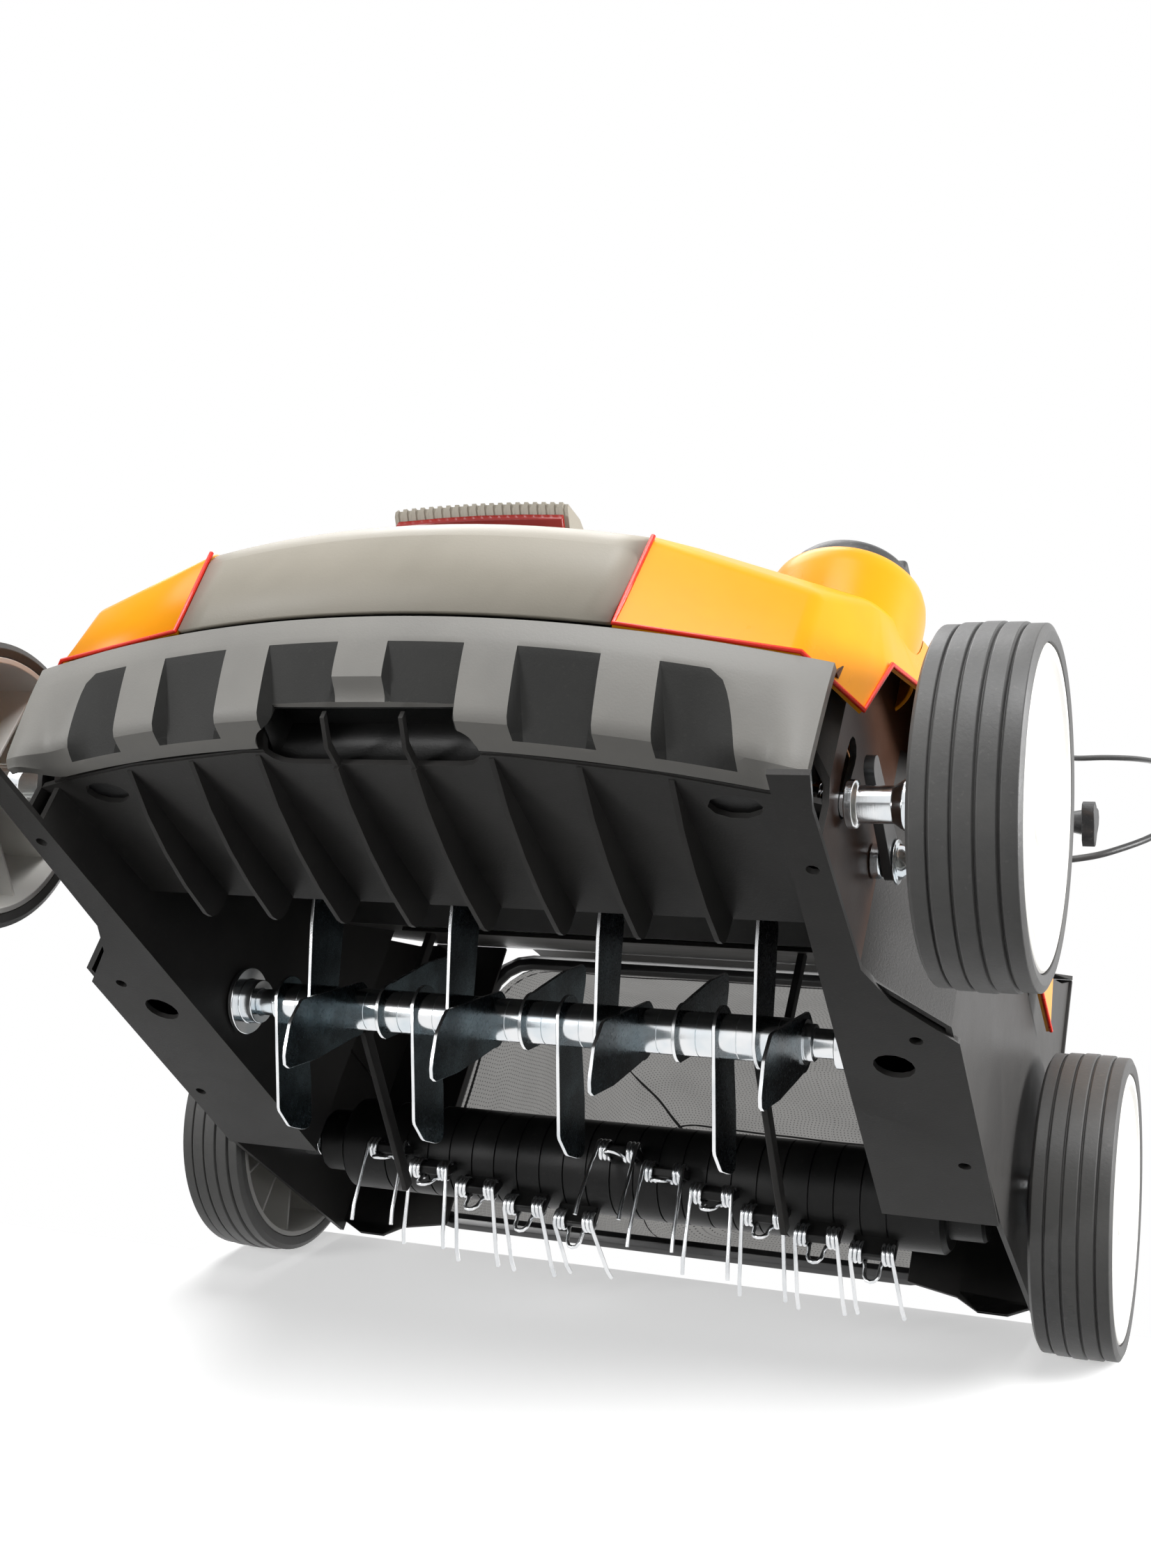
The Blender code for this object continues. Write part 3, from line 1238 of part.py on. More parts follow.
def bail_lever(holder):
    along, above = BAIL_PIVOT
    half = [(0.0340, along, above), (0.0600, along, above), (0.0900, along + 0.010, above + 0.018),
            (0.1000, UPPER_TOP - 0.010, above + 0.0440), (0.0850, UPPER_TOP, above + 0.0490)]
    path = rounded_path([(-x, y, z) for x, y, z in half] + half[::-1], 0.010, 2)
    return finish(transform(rod("bail_lever", path, BAIL_ROD, 2), RAISE), ORANGE, holder)


def clamp_knob(name, along, seat, inner, sign, holder):
    """A knob with three lobes and its stud, which ends in a nut on the far side."""
    lobes = []
    for step in range(18):
        angle = 2 * math.pi * step / 18
        radius = 0.0165 + 0.0040 * math.cos(3 * angle)
        lobes.append((along + radius * math.cos(angle), radius * math.sin(angle)))
    top = plate("top", "X", seat + 0.0100, seat + 0.0200, lobes)
    profile = [(0, seat + 0.0105), (0.0105, seat + 0.0105), (0.0085, seat), (CLAMP_BOLT, seat), (CLAMP_BOLT, inner),
               (0.0070, inner), (0.0070, inner - 0.0035), (0.0055, inner - 0.0050), (0, inner - 0.0050)]
    knob = join(turned(name, "X", (0, along, 0), profile, 12), top)
    if sign < 0:
        left = mirrored(knob, name + "_left")
        bpy.data.objects.remove(knob, do_unlink=True)
        knob = left
    knob.name = name
    return finish(transform(knob, RAISE), BLACK, holder)


CABLE = 0.0026
CLIP_AT = 0.590


def cable_x(along):
    return upper_x(along) + HANDLE_TUBE + CABLE + 0.0010


def cable_upper(holder):
    points = [(0.0200, UPPER_TOP - 0.0858, 0.0), (0.0240, UPPER_TOP - 0.100, 0.0), (0.0600, UPPER_TOP - 0.118, -0.012),
              (0.1000, UPPER_TOP - 0.122, -0.018), (0.1400, UPPER_TOP - 0.132, -0.019),
              (upper_x(0.63) + 0.012, 0.630, -0.016), (cable_x(0.61), 0.610, -0.003),
              (cable_x(CLIP_AT + 0.008), CLIP_AT + 0.008, 0.0), (cable_x(CLIP_AT - 0.010), CLIP_AT - 0.010, 0.0)]
    path = smooth_path(points, 3)
    return finish(transform(rod("cable_upper", path, CABLE, 1), RAISE), BLACK, holder)


def cable_loop(holder):
    start = CLIP_AT - 0.0105
    points = [(cable_x(start), start, 0.0), (cable_x(start - 0.008), start - 0.008, 0.0), (0.1900, 0.560, 0.001),
              (0.2180, 0.550, 0.004), (0.2500, 0.525, 0.008),
              (0.2760, 0.480, 0.012), (0.2960, 0.400, 0.014), (0.3020, 0.320, 0.012), (0.2900, 0.250, 0.008),
              (0.2600, 0.205, 0.004), (0.2360, 0.192, 0.001), (LOWER_X + HANDLE_TUBE + 0.0010, 0.189, 0.0)]
    path = smooth_path(points, 3)
    return finish(transform(rod("cable_loop", path, CABLE, 1), RAISE), BLACK, holder)


def smooth_path(points, steps):
    """A Catmull-Rom curve through the points."""
    ends = [Vector(points[0]) * 2 - Vector(points[1])] + [Vector(p) for p in points]
    ends.append(Vector(points[-1]) * 2 - Vector(points[-2]))
    path = []
    for p0, p1, p2, p3 in zip(ends, ends[1:], ends[2:], ends[3:]):
        for step in range(steps):
            t = step / steps
            path.append(0.5 * (2 * p1 + (p2 - p0) * t + (2 * p0 - 5 * p1 + 4 * p2 - p3) * t * t
                               + (3 * p1 - p0 - 3 * p2 + p3) * t ** 3))
    path.append(ends[-2])
    return path


def cable_clip(holder):
    tube_x = upper_x(CLIP_AT)
    outline = eye_bar((tube_x, 0), HANDLE_TUBE + 0.0032, (cable_x(CLIP_AT), 0), CABLE + 0.0016)
    holes = [circle((tube_x, 0), HANDLE_TUBE + 0.0010, 16)]
    clip = plate("cable_clip", "Y", CLIP_AT - 0.006, CLIP_AT + 0.006, outline, holes)
    lean = math.atan2(UPPER_X - UPPER_TOP_X, UPPER_TOP - FOLD_AT)
    wire = cylinder("wire", "Y", (cable_x(CLIP_AT), CLIP_AT, 0), CABLE + 0.0006, -0.02, 0.02, 10)
    turn = Matrix.Translation((cable_x(CLIP_AT), CLIP_AT, 0)) @ Matrix.Rotation(lean, 4, "Z")
    transform(wire, turn @ Matrix.Translation((-cable_x(CLIP_AT), -CLIP_AT, 0)))
    cut(clip, wire)
    return finish(transform(clip, RAISE), BLACK, holder)


# The machine

def build():
    deck_housing()
    front_bumper()
    hood_cover()
    rear_cover()
    side_covers()
    lid = pivot("lid_hinge", (0, STATIONS[4][0][1], STATIONS[4][0][2]))
    battery_lid(lid)
    battery_bay()
    battery_pack()
    battery_release(pivot("release_slide", (0, RELEASE[1], PACK_TOP)))

    turret_cup()
    crank = pivot("crank_pivot", (0, *CRANK_PIVOT))
    knob = pivot("knob_axis", (*TURRET, TURRET_TOP))
    depth_knob(knob)
    depth_spindle(knob)
    depth_nut(pivot("nut_slide", (*TURRET, FRONT_AXLE[1])))
    front_axle(crank)
    crank_frame(crank)
    crank_rod()
    wheels({"front": crank, "rear": None})
    rear_axle()

    drive_motor()
    motor_bracket()
    motor_pulley(pivot("motor_axis", (0, *MOTOR_AXIS)))
    drive_belt()
    roller = pivot("blade_axis", (0, *BLADE_AXIS))
    shaft_pulley(roller)
    blade_shaft(roller)
    scarifier_blades(roller)
    blade_bearings()
    tines = pivot("tine_axis", (0, *TINE_AXIS))
    tine_core(tines)
    tine_springs(tines)
    tine_bearings()
    stripper_guard()

    rear_flap(pivot("flap_axis", (0, *FLAP_ROD)))
    flap_rod()
    bag = pivot("bag_hook", (0, FRAME_Y, FRAME_Z[1]))
    bag_frame(bag)
    bag_fabric(bag)
    bag_handle(bag)

    lower = pivot("handle_pivot", (0, *HANDLE_PIVOT))
    lower_tube("lower_tube_left", -1, lower)
    lower_tube("lower_tube_right", 1, lower)
    upper = pivot("fold_pivot", on_handle(0, FOLD_AT), lower)
    upper_tube(upper)
    handle_grip(upper)
    switch_box(upper)
    lock_button(pivot("lock_slide", on_handle(0, UPPER_TOP - 0.060), upper))
    bail_lever(pivot("bail_pivot", on_handle(0, *BAIL_PIVOT), upper))
    ear_face = LOWER_X + HANDLE_TUBE + 2 * GAP + 0.0035
    ear_back = LOWER_X - HANDLE_TUBE - 2 * GAP - 0.0035
    seat = LOWER_X + HANDLE_TUBE + GAP
    back = UPPER_X - HANDLE_TUBE - GAP
    for side, sign in (("left", -1), ("right", 1)):
        base = pivot("base_knob_" + side + "_axis", on_handle(sign * (ear_face + 0.012), 0.0))
        clamp_knob("base_knob_" + side, 0.0, ear_face, ear_back, sign, base)
        fold = pivot("fold_knob_" + side + "_axis", on_handle(sign * (seat + 0.012), FOLD_AT), lower)
        clamp_knob("fold_knob_" + side, FOLD_AT, seat, back, sign, fold)
    cable_upper(upper)
    cable_clip(upper)
    cable_loop(lower)


def stand_on_origin():
    """Move the machine so that the origin is the middle of its footprint."""
    bpy.context.view_layer.update()
    reach = [(made.matrix_world @ Vector(corner)).y for made in PARTS.objects if made.type == "MESH"
             for corner in made.bound_box]
    MACHINE.location.y = -(min(reach) + max(reach)) / 2
    bpy.context.view_layer.update()
    print("moved along Y by", round(MACHINE.location.y, 5))


build()
stand_on_origin()
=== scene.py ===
# %% [markdown]
# # A cordless lawn scarifier, dressed for the camera
#
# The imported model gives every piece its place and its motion. This script gives the pieces
# their finish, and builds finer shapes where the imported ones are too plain: the covers, the
# bumper, the wheels, the blades, the springs, the bag, the tubes and the cable.
# Lengths are metres, +Z is up and the machine looks along -Y. The helper `at` measures Y from
# the front axle, because the machine's own sizes are easiest to read from there.

import json
import math

import bmesh
import bpy
from mathutils import Matrix, Vector, noise

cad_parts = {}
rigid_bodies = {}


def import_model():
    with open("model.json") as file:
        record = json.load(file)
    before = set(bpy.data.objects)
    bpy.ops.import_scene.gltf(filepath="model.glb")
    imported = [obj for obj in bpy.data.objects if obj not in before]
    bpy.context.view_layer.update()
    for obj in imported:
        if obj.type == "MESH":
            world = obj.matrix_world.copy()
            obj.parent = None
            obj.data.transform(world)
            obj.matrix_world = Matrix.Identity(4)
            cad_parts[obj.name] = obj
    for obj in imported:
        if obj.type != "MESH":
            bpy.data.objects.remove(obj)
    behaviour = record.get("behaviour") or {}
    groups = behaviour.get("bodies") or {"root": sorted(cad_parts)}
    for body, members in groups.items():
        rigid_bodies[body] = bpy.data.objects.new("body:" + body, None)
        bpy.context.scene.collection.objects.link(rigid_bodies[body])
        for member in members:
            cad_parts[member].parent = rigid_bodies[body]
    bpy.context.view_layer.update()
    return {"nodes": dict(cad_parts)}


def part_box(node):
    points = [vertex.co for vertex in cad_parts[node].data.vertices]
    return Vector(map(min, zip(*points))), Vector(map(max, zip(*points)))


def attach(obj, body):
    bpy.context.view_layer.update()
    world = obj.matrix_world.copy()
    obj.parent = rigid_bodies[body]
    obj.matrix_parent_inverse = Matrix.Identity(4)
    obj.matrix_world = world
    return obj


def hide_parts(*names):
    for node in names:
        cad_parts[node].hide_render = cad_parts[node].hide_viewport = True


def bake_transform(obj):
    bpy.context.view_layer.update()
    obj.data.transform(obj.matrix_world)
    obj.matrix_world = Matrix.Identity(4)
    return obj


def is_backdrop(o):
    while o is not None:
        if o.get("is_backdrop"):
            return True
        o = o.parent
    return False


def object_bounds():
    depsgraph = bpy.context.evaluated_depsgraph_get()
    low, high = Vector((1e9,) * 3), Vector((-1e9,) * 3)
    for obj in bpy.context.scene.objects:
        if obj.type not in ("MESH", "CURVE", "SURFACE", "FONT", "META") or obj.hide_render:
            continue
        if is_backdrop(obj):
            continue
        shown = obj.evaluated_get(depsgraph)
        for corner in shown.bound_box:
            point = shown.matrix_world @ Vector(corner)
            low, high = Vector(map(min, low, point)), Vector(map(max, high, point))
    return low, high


for leftover in list(bpy.data.objects):
    bpy.data.objects.remove(leftover, do_unlink=True)

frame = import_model()
NODES = frame["nodes"]
AXLE_LOW, AXLE_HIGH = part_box("front_axle")
AXLE_Y = (AXLE_LOW.y + AXLE_HIGH.y) / 2
FROM_AXLE = Matrix.Translation((0, AXLE_Y, 0))
SIDES = (("left", -1), ("right", 1))


def at(x, y, z):
    """A point whose Y is measured from the front axle."""
    return Vector((x, y + AXLE_Y, z))


def add_object(name, data):
    made = bpy.data.objects.new(name, data)
    bpy.context.scene.collection.objects.link(made)
    return made


print("loaded", len(NODES), "nodes; the front axle is at Y", round(AXLE_Y, 4))

# %% [markdown]
# ## The camera
#
# The photograph looks at the underside of the tipped machine from low down in front. A camera
# is a place and three directions, so its matrix is filled from them: the picture's right, the
# picture's up and the way it looks away from.

# %% Camera
CAMERA_PLACE = at(0.4113, -0.6263, -0.3851)
CAMERA_RIGHT = Vector((0.92190, 0.29789, 0.24770))
CAMERA_DOWN = Vector((0.01676, 0.60808, -0.79370))
CAMERA_AHEAD = Vector((-0.38706, 0.73586, 0.55560))
lens = bpy.data.cameras.new("photo_camera")
lens.lens = 41.27
lens.sensor_width = 36.0
lens.clip_start = 0.02
camera = add_object("photo_camera", lens)
turned_to = Matrix((CAMERA_RIGHT, -CAMERA_DOWN, -CAMERA_AHEAD)).transposed()
camera.matrix_world = Matrix.Translation(CAMERA_PLACE) @ turned_to.to_4x4()
bpy.context.scene.camera = camera
print("camera at", [round(value, 3) for value in camera.matrix_world.translation])

# %% [markdown]
# ## Building with shader nodes
#
# A node tree is code: each node is made, its sockets are set or linked, and its output goes on
# to the next one. A few small helpers keep that short: `shade` adds a node and takes a value or a
# link for each named input, `blend_colour` mixes two colours by a mask, and `vary` spreads a
# mask between two values. An input written _0, _1 or _2 is meant by its number.

# %% Node helpers


def shade(tree, kind, settings=None, **inputs):
    made = tree.nodes.new("ShaderNode" + kind)
    for key, value in (settings or {}).items():
        setattr(made, key, value)
    for key, value in inputs.items():
        socket = made.inputs[int(key[1:])] if key[0] == "_" else made.inputs[key.replace("_", " ")]
        if isinstance(value, bpy.types.NodeSocket):
            tree.links.new(value, socket)
        else:
            socket.default_value = value
    return made


def maths(tree, operation, first, second=0.0, clamp=False):
    settings = {"operation": operation, "use_clamp": clamp}
    return shade(tree, "Math", settings, _0=first, _1=second).outputs[0]


def blend_colour(tree, mask, first, second):
    return shade(tree, "Mix", {"data_type": "RGBA"}, _0=mask, _6=first, _7=second).outputs[2]


def vary(tree, mask, low, high):
    return shade(tree, "MapRange", Value=mask, To_Min=low, To_Max=high).outputs["Result"]


def mask_between(tree, value, low, high):
    return shade(tree, "MapRange", Value=value, From_Min=low, From_Max=high).outputs["Result"]


def group(name, inputs, outputs):
    """A node group with named sockets, and the nodes at its two ends."""
    tree = bpy.data.node_groups.new(name, "ShaderNodeTree")
    for label, kind, value in inputs:
        socket = tree.interface.new_socket(label, in_out="INPUT", socket_type="NodeSocket" + kind)
        if value is not None:
            socket.default_value = value
    for label in outputs:
        tree.interface.new_socket(label, in_out="OUTPUT", socket_type="NodeSocketFloat")
    return tree, tree.nodes.new("NodeGroupInput").outputs, tree.nodes.new("NodeGroupOutput").inputs


# %% [markdown]
# ## Light
#
# Soft studio light comes from large area lamps. The world is white where it is seen directly,
# in a reflection or through glass, and dimmer where it only fills the shadows, so a white
# background never means more light on the object.

# %% World and lamps
FILL = 0.08
MIDDLE = at(0.0, 0.15, 0.12)
LAMPS = {  # place from the middle, size, watts
    "key": ((0.25, -1.7, 0.95), 1.3, 34.0),
    "overhead": ((-0.8, -0.3, 2.2), 1.6, 34.0),
    "right": ((1.9, 0.1, 0.65), 1.0, 48.0),
    "low_left": ((-1.05, -1.35, -0.55), 0.5, 11.0),
    "low_right": ((1.2, -0.9, -0.35), 0.6, 1.6),
    "rear": ((-0.6, 1.9, 1.2), 1.4, 16.0),
}


def light_world():
    world = bpy.data.worlds.new("studio")
    world.use_nodes = True
    tree = world.node_tree
    tree.nodes.clear()
    path = shade(tree, "LightPath").outputs
    seen = maths(tree, "MAXIMUM", path["Is Camera Ray"], path["Is Transmission Ray"])
    strength = vary(tree, maths(tree, "MAXIMUM", seen, path["Is Glossy Ray"]), FILL, 1.0)
    background = shade(tree, "Background", Color=(1.0, 1.0, 1.0, 1.0), Strength=strength)
    shade(tree, "OutputWorld", Surface=background.outputs[0])
    bpy.context.scene.world = world


light_world()
for name, (offset, size, power) in LAMPS.items():
    data = bpy.data.lights.new(name, "AREA")
    data.shape = "DISK"
    data.size = size
    data.energy = power
    lamp = add_object(name, data)
    lamp.location = MIDDLE + Vector(offset)
    lamp.rotation_mode = "QUATERNION"
    lamp.rotation_quaternion = (-Vector(offset)).to_track_quat("-Z", "Y")
bpy.context.scene.view_settings.view_transform = "Standard"
print("lamps:", list(LAMPS))

# %% [markdown]
# ## Effects that several finishes share
#
# Moulded plastic has a fine spark-eroded grain and a slow change of gloss from handling. Turned
# and drawn steel has streaks that run round or along the piece. Cloth has two sets of threads
# that pass over and under each other. Dust and scuffs gather in soft patches. Each of these is
# one group, and every material sets its own scale and strength.

# %% Grain
VECTOR = ("Vector", "Vector", None)
GRAIN, grain_in, grain_out = group(
    "moulded_grain", [VECTOR, ("Scale", "Float", 900.0)], ["Height", "Patches"])
fine = shade(GRAIN, "TexNoise", Vector=grain_in["Vector"], Scale=grain_in["Scale"], Detail=3.0, Roughness=0.6)
slow = shade(GRAIN, "TexNoise", Vector=grain_in["Vector"], Scale=14.0, Detail=4.0, Roughness=0.62)
GRAIN.links.new(fine.outputs["Fac"], grain_out["Height"])
GRAIN.links.new(mask_between(GRAIN, slow.outputs["Fac"], 0.35, 0.68), grain_out["Patches"])

# %% Streaks
STREAKS, streak_in, streak_out = group(
    "drawn_streaks", [VECTOR, ("Stretch", "Vector", (1.0, 1.0, 1.0))], ["Height", "Stain"])
pulled = shade(STREAKS, "VectorMath", {"operation": "MULTIPLY"}, _0=streak_in["Vector"],
               _1=streak_in["Stretch"])
lines = shade(STREAKS, "TexNoise", Vector=pulled.outputs[0], Scale=1.0, Detail=5.0, Roughness=0.7)
stain = shade(STREAKS, "TexNoise", Vector=streak_in["Vector"], Scale=38.0, Detail=3.0, Roughness=0.55)
STREAKS.links.new(lines.outputs["Fac"], streak_out["Height"])
STREAKS.links.new(mask_between(STREAKS, stain.outputs["Fac"], 0.42, 0.66), streak_out["Stain"])

# %% Weave
THREAD_EDGE = 0.42
WEAVE, weave_in, weave_out = group("plain_weave", [VECTOR, ("Threads", "Float", 640.0)], ["Height", "Gap"])
scaled = shade(WEAVE, "VectorMath", {"operation": "SCALE"}, _0=weave_in["Vector"], Scale=weave_in["Threads"])
across = shade(WEAVE, "SeparateXYZ", Vector=scaled.outputs[0]).outputs
warp, weft = (maths(WEAVE, "SINE", maths(WEAVE, "MULTIPLY", across[axis], math.pi)) for axis in "XY")
over = maths(WEAVE, "SIGN", maths(WEAVE, "MULTIPLY", warp, weft))
warp_high, weft_high = (maths(WEAVE, "ABSOLUTE", thread) for thread in (warp, weft))
swap = shade(WEAVE, "Mix", {"data_type": "FLOAT"}, _0=maths(WEAVE, "GREATER_THAN", over, 0.0), _2=warp_high,
             _3=weft_high)
highest = maths(WEAVE, "MAXIMUM", warp_high, weft_high)
WEAVE.links.new(swap.outputs[0], weave_out["Height"])
WEAVE.links.new(maths(WEAVE, "LESS_THAN", highest, THREAD_EDGE), weave_out["Gap"])

# %% Dust
DUST, dust_in, dust_out = group("settled_dust", [VECTOR, ("Amount", "Float", 0.5)], ["Mask"])
clouds = shade(DUST, "TexNoise", Vector=dust_in["Vector"], Scale=9.0, Detail=6.0, Roughness=0.7)
specks = shade(DUST, "TexNoise", Vector=dust_in["Vector"], Scale=420.0, Detail=2.0, Roughness=0.5)
together = maths(DUST, "MAXIMUM", mask_between(DUST, clouds.outputs["Fac"], 0.45, 0.75),
                 mask_between(DUST, specks.outputs["Fac"], 0.60, 0.78))
DUST.links.new(maths(DUST, "MULTIPLY", together, dust_in["Amount"], clamp=True), dust_out["Mask"])
print("shared effects:", [tree.name for tree in bpy.data.node_groups])

# %% [markdown]
# ## The finishes
#
# A finish starts from the Principled shader. Object coordinates carry every pattern, so it stays
# on its piece when the piece moves. The constants that are the same all over a surface are set on
# the shader's own sockets, and only what changes over the surface is linked.

# %% The start and the end of each finish


def start_finish(name, **constants):
    made = bpy.data.materials.new(name)
    made.use_nodes = True
    tree = made.node_tree
    shader = tree.nodes["Principled BSDF"]
    for key, value in constants.items():
        shader.inputs[key.replace("_", " ")].default_value = value
    return made, tree, shader, shade(tree, "TexCoord").outputs["Object"]


def use_group(tree, source, **inputs):
    return shade(tree, "Group", {"node_tree": source}, **inputs).outputs


def end_finish(tree, shader, tone, rough, height, strength, distance):
    tree.links.new(tone, shader.inputs["Base Color"])
    if rough is not None:
        tree.links.new(rough, shader.inputs["Roughness"])
    bump = shade(tree, "Bump", Strength=strength, Distance=distance, Height=height)
    tree.links.new(bump.outputs["Normal"], shader.inputs["Normal"])


# %% Moulded plastics and rubbers


def grained(name, colour, worn, gloss, scale, relief, dust, specular=0.5, dust_tone=(0.42, 0.40, 0.36),
            dulls=0.35, distance=0.0003):
    """An eroded grain, patches of changing gloss, and dust that pales and dulls the surface."""
    made, tree, shader, place = start_finish(name, Specular_IOR_Level=specular)
    grain = use_group(tree, GRAIN, Vector=place, Scale=scale)
    dusty = use_group(tree, DUST, Vector=place, Amount=dust)["Mask"]
    tone = blend_colour(tree, grain["Patches"], (*colour, 1.0), (*worn, 1.0))
    tone = blend_colour(tree, dusty, tone, (*dust_tone, 1.0))
    dull = maths(tree, "MULTIPLY", dusty, dulls)
    rough = maths(tree, "ADD", vary(tree, grain["Patches"], *gloss), dull, clamp=True)
    end_finish(tree, shader, tone, rough, grain["Height"], relief, distance)
    return made


# name, colour, worn colour, roughness from and to, grain scale, relief, dust, specular level
DECK, WELL_PAINTED_REFLECTION, BUMPER, POCKET_PAINTED_SHADE, HOOD, ORANGE, RED_EDGE, DARK_RED, KNOB, PACK, DISC, RED = (
    grained(*row) for row in (
        ("deck_black", (0.048, 0.0465, 0.0455), (0.060, 0.058, 0.056), (0.36, 0.46), 900.0, 0.30, 0.03, 0.10),
        # The well finish is the deck's black tinted brown: a painted reflection of the orange cover beside
        # the front wheel.
        ("well_painted_reflection", (0.048, 0.020, 0.011), (0.056, 0.025, 0.014), (0.34, 0.44), 900.0, 0.20, 0.02, 0.15),
        ("bumper_grey", (0.235, 0.229, 0.215), (0.272, 0.264, 0.246), (0.42, 0.54), 900.0, 0.30, 0.02, 0.35),
        # The pocket finish is the bumper's plastic made near black: painted shade on the pocket floors and
        # walls.
        ("pocket_painted_shade", (0.033, 0.033, 0.032), (0.039, 0.039, 0.0375), (0.50, 0.62), 900.0, 0.40, 0.02, 0.15),
        ("hood_grey", (0.345, 0.318, 0.266), (0.385, 0.354, 0.298), (0.40, 0.52), 900.0, 0.20, 0.02, 0.35),
        ("cover_orange", (0.930, 0.345, 0.004), (0.960, 0.375, 0.006), (0.26, 0.36), 900.0, 0.04, 0.0, 0.22),
        ("edge_red", (0.860, 0.020, 0.004), (0.920, 0.030, 0.006), (0.24, 0.32), 900.0, 0.04, 0.0),
        ("grip_red", (0.230, 0.008, 0.006), (0.300, 0.012, 0.008), (0.20, 0.30), 900.0, 0.05, 0.0),
        ("knob_black", (0.018, 0.018, 0.019), (0.028, 0.028, 0.029), (0.34, 0.48), 700.0, 0.45, 0.12),
        ("core_black", (0.012, 0.012, 0.012), (0.018, 0.018, 0.018), (0.34, 0.46), 900.0, 0.30, 0.02, 0.20),
        ("wheel_white", (0.860, 0.850, 0.820), (0.820, 0.805, 0.765), (0.40, 0.52), 900.0, 0.12, 0.03),
        ("button_red", (0.560, 0.030, 0.015), (0.640, 0.045, 0.020), (0.25, 0.35), 900.0, 0.10, 0.12)))
TYRE, CABLE, BELT, BINDING = (
    grained(*row, 0.30, dust_tone=(0.16, 0.155, 0.145), dulls=0.0, distance=0.0004) for row in (
        ("tyre_rubber", (0.052, 0.052, 0.052), (0.070, 0.069, 0.067), (0.42, 0.58), 500.0, 0.30),
        ("cable_rubber", (0.012, 0.012, 0.013), (0.020, 0.020, 0.020), (0.36, 0.50), 600.0, 0.20),
        ("belt_rubber", (0.020, 0.020, 0.020), (0.030, 0.030, 0.030), (0.60, 0.75), 800.0, 0.40),
        ("bag_binding", (0.014, 0.014, 0.015), (0.022, 0.022, 0.023), (0.60, 0.75), 900.0, 0.80)))
print("grained finishes ready:", DECK.name, "to", BINDING.name)

# %% Steel


def steel(name, colour, stained, gloss, stretch, relief=0.12, **constants):
    """Bright or coated steel with the streaks that drawing and turning leave."""
    made, tree, shader, place = start_finish(name, **(constants or {"Metallic": 1.0}))
    streaks = use_group(tree, STREAKS, Vector=place, Stretch=stretch)
    tone = blend_colour(tree, streaks["Stain"], (*colour, 1.0), (*stained, 1.0))
    rough = vary(tree, streaks["Height"], *gloss)
    end_finish(tree, shader, tone, rough, streaks["Height"], relief, 0.0002)
    return made


RINGS = (2200.0, 60.0, 60.0)
ZINC, TUBE, WIRE, MOTOR, BLADE, SHEARED = (
    steel(*row) for row in (
        ("zinc_bright", (0.86, 0.87, 0.88), (0.70, 0.76, 0.80), (0.08, 0.24), RINGS),
        ("tube_silver", (0.80, 0.81, 0.82), (0.74, 0.75, 0.77), (0.22, 0.34), (60.0, 60.0, 60.0)),
        ("spring_wire", (0.82, 0.83, 0.84), (0.66, 0.68, 0.70), (0.14, 0.30), (90.0, 90.0, 90.0)),
        ("motor_can", (0.30, 0.30, 0.31), (0.24, 0.24, 0.25), (0.30, 0.42), RINGS),
        ("blade_steel", (0.030, 0.045, 0.052), (0.075, 0.110, 0.125), (0.16, 0.36), (40.0, 500.0, 500.0),
         0.10),
        ("blade_edge", (0.90, 0.91, 0.92), (0.74, 0.76, 0.78), (0.14, 0.30), (500.0, 90.0, 90.0))))
DARK_STEEL = steel("steel_black", (0.022, 0.022, 0.023), (0.034, 0.034, 0.035), (0.26, 0.40),
                   (80.0, 80.0, 80.0), Coat_Weight=0.3, Coat_Roughness=0.2)
print("steel finishes ready:", BLADE.name, ZINC.name)

# %% Foam and cloth


def foam_finish():
    """Closed-cell foam: small round cells, cut through at the surface."""
    made, tree, shader, place = start_finish("grip_foam", Roughness=0.92, Sheen_Weight=0.15)
    cells = shade(tree, "TexVoronoi", Vector=place, Scale=620.0).outputs["Distance"]
    tone = blend_colour(tree, cells, (0.014, 0.014, 0.014, 1.0), (0.040, 0.040, 0.041, 1.0))
    end_finish(tree, shader, tone, None, cells, 0.7, 0.0006)
    return made


def cloth_finish(name, threads, thread_tone, gap_painted_shade, through):
    """Black woven mesh. Its threads catch the light and glow by emission in their own colour, a painted glow
    for daylight coming through them; the gaps are painted near black, a painted shade for the dark inside of
    the bag.
    """
    made, tree, shader, place = start_finish(
        # The emission strength makes the cloth glow: painted light, not a lamp.
        name, Roughness=0.55, Sheen_Weight=0.25, Emission_Strength=through)
    run = shade(tree, "UVMap", {"uv_map": "cloth"}).outputs["UV"]
    weave = use_group(tree, WEAVE, Vector=run, Threads=threads)
    slack = use_group(tree, GRAIN, Vector=place, Scale=60.0)
    rubbed = tuple(1.15 * value for value in thread_tone)
    tone = blend_colour(tree, slack["Patches"], (*thread_tone, 1.0), (*rubbed, 1.0))
    woven = blend_colour(tree, weave["Gap"], tone, (*gap_painted_shade, 1.0))
    # The weave's colours also glow: painted light on the threads, while the near-black gaps are painted
    # shade.
    tree.links.new(woven, shader.inputs["Emission Color"])
    end_finish(tree, shader, woven, None, weave["Height"], 0.8, 0.0005)
    return made


FOAM = foam_finish()
# The bag mesh glows at strength 1.5, a painted glow. Its gap colour is painted shade.
MESH = cloth_finish("bag_mesh", 300.0, (0.130, 0.128, 0.125), (0.004, 0.004, 0.004), 1.5)
print("soft finishes ready:", FOAM.name, MESH.name)

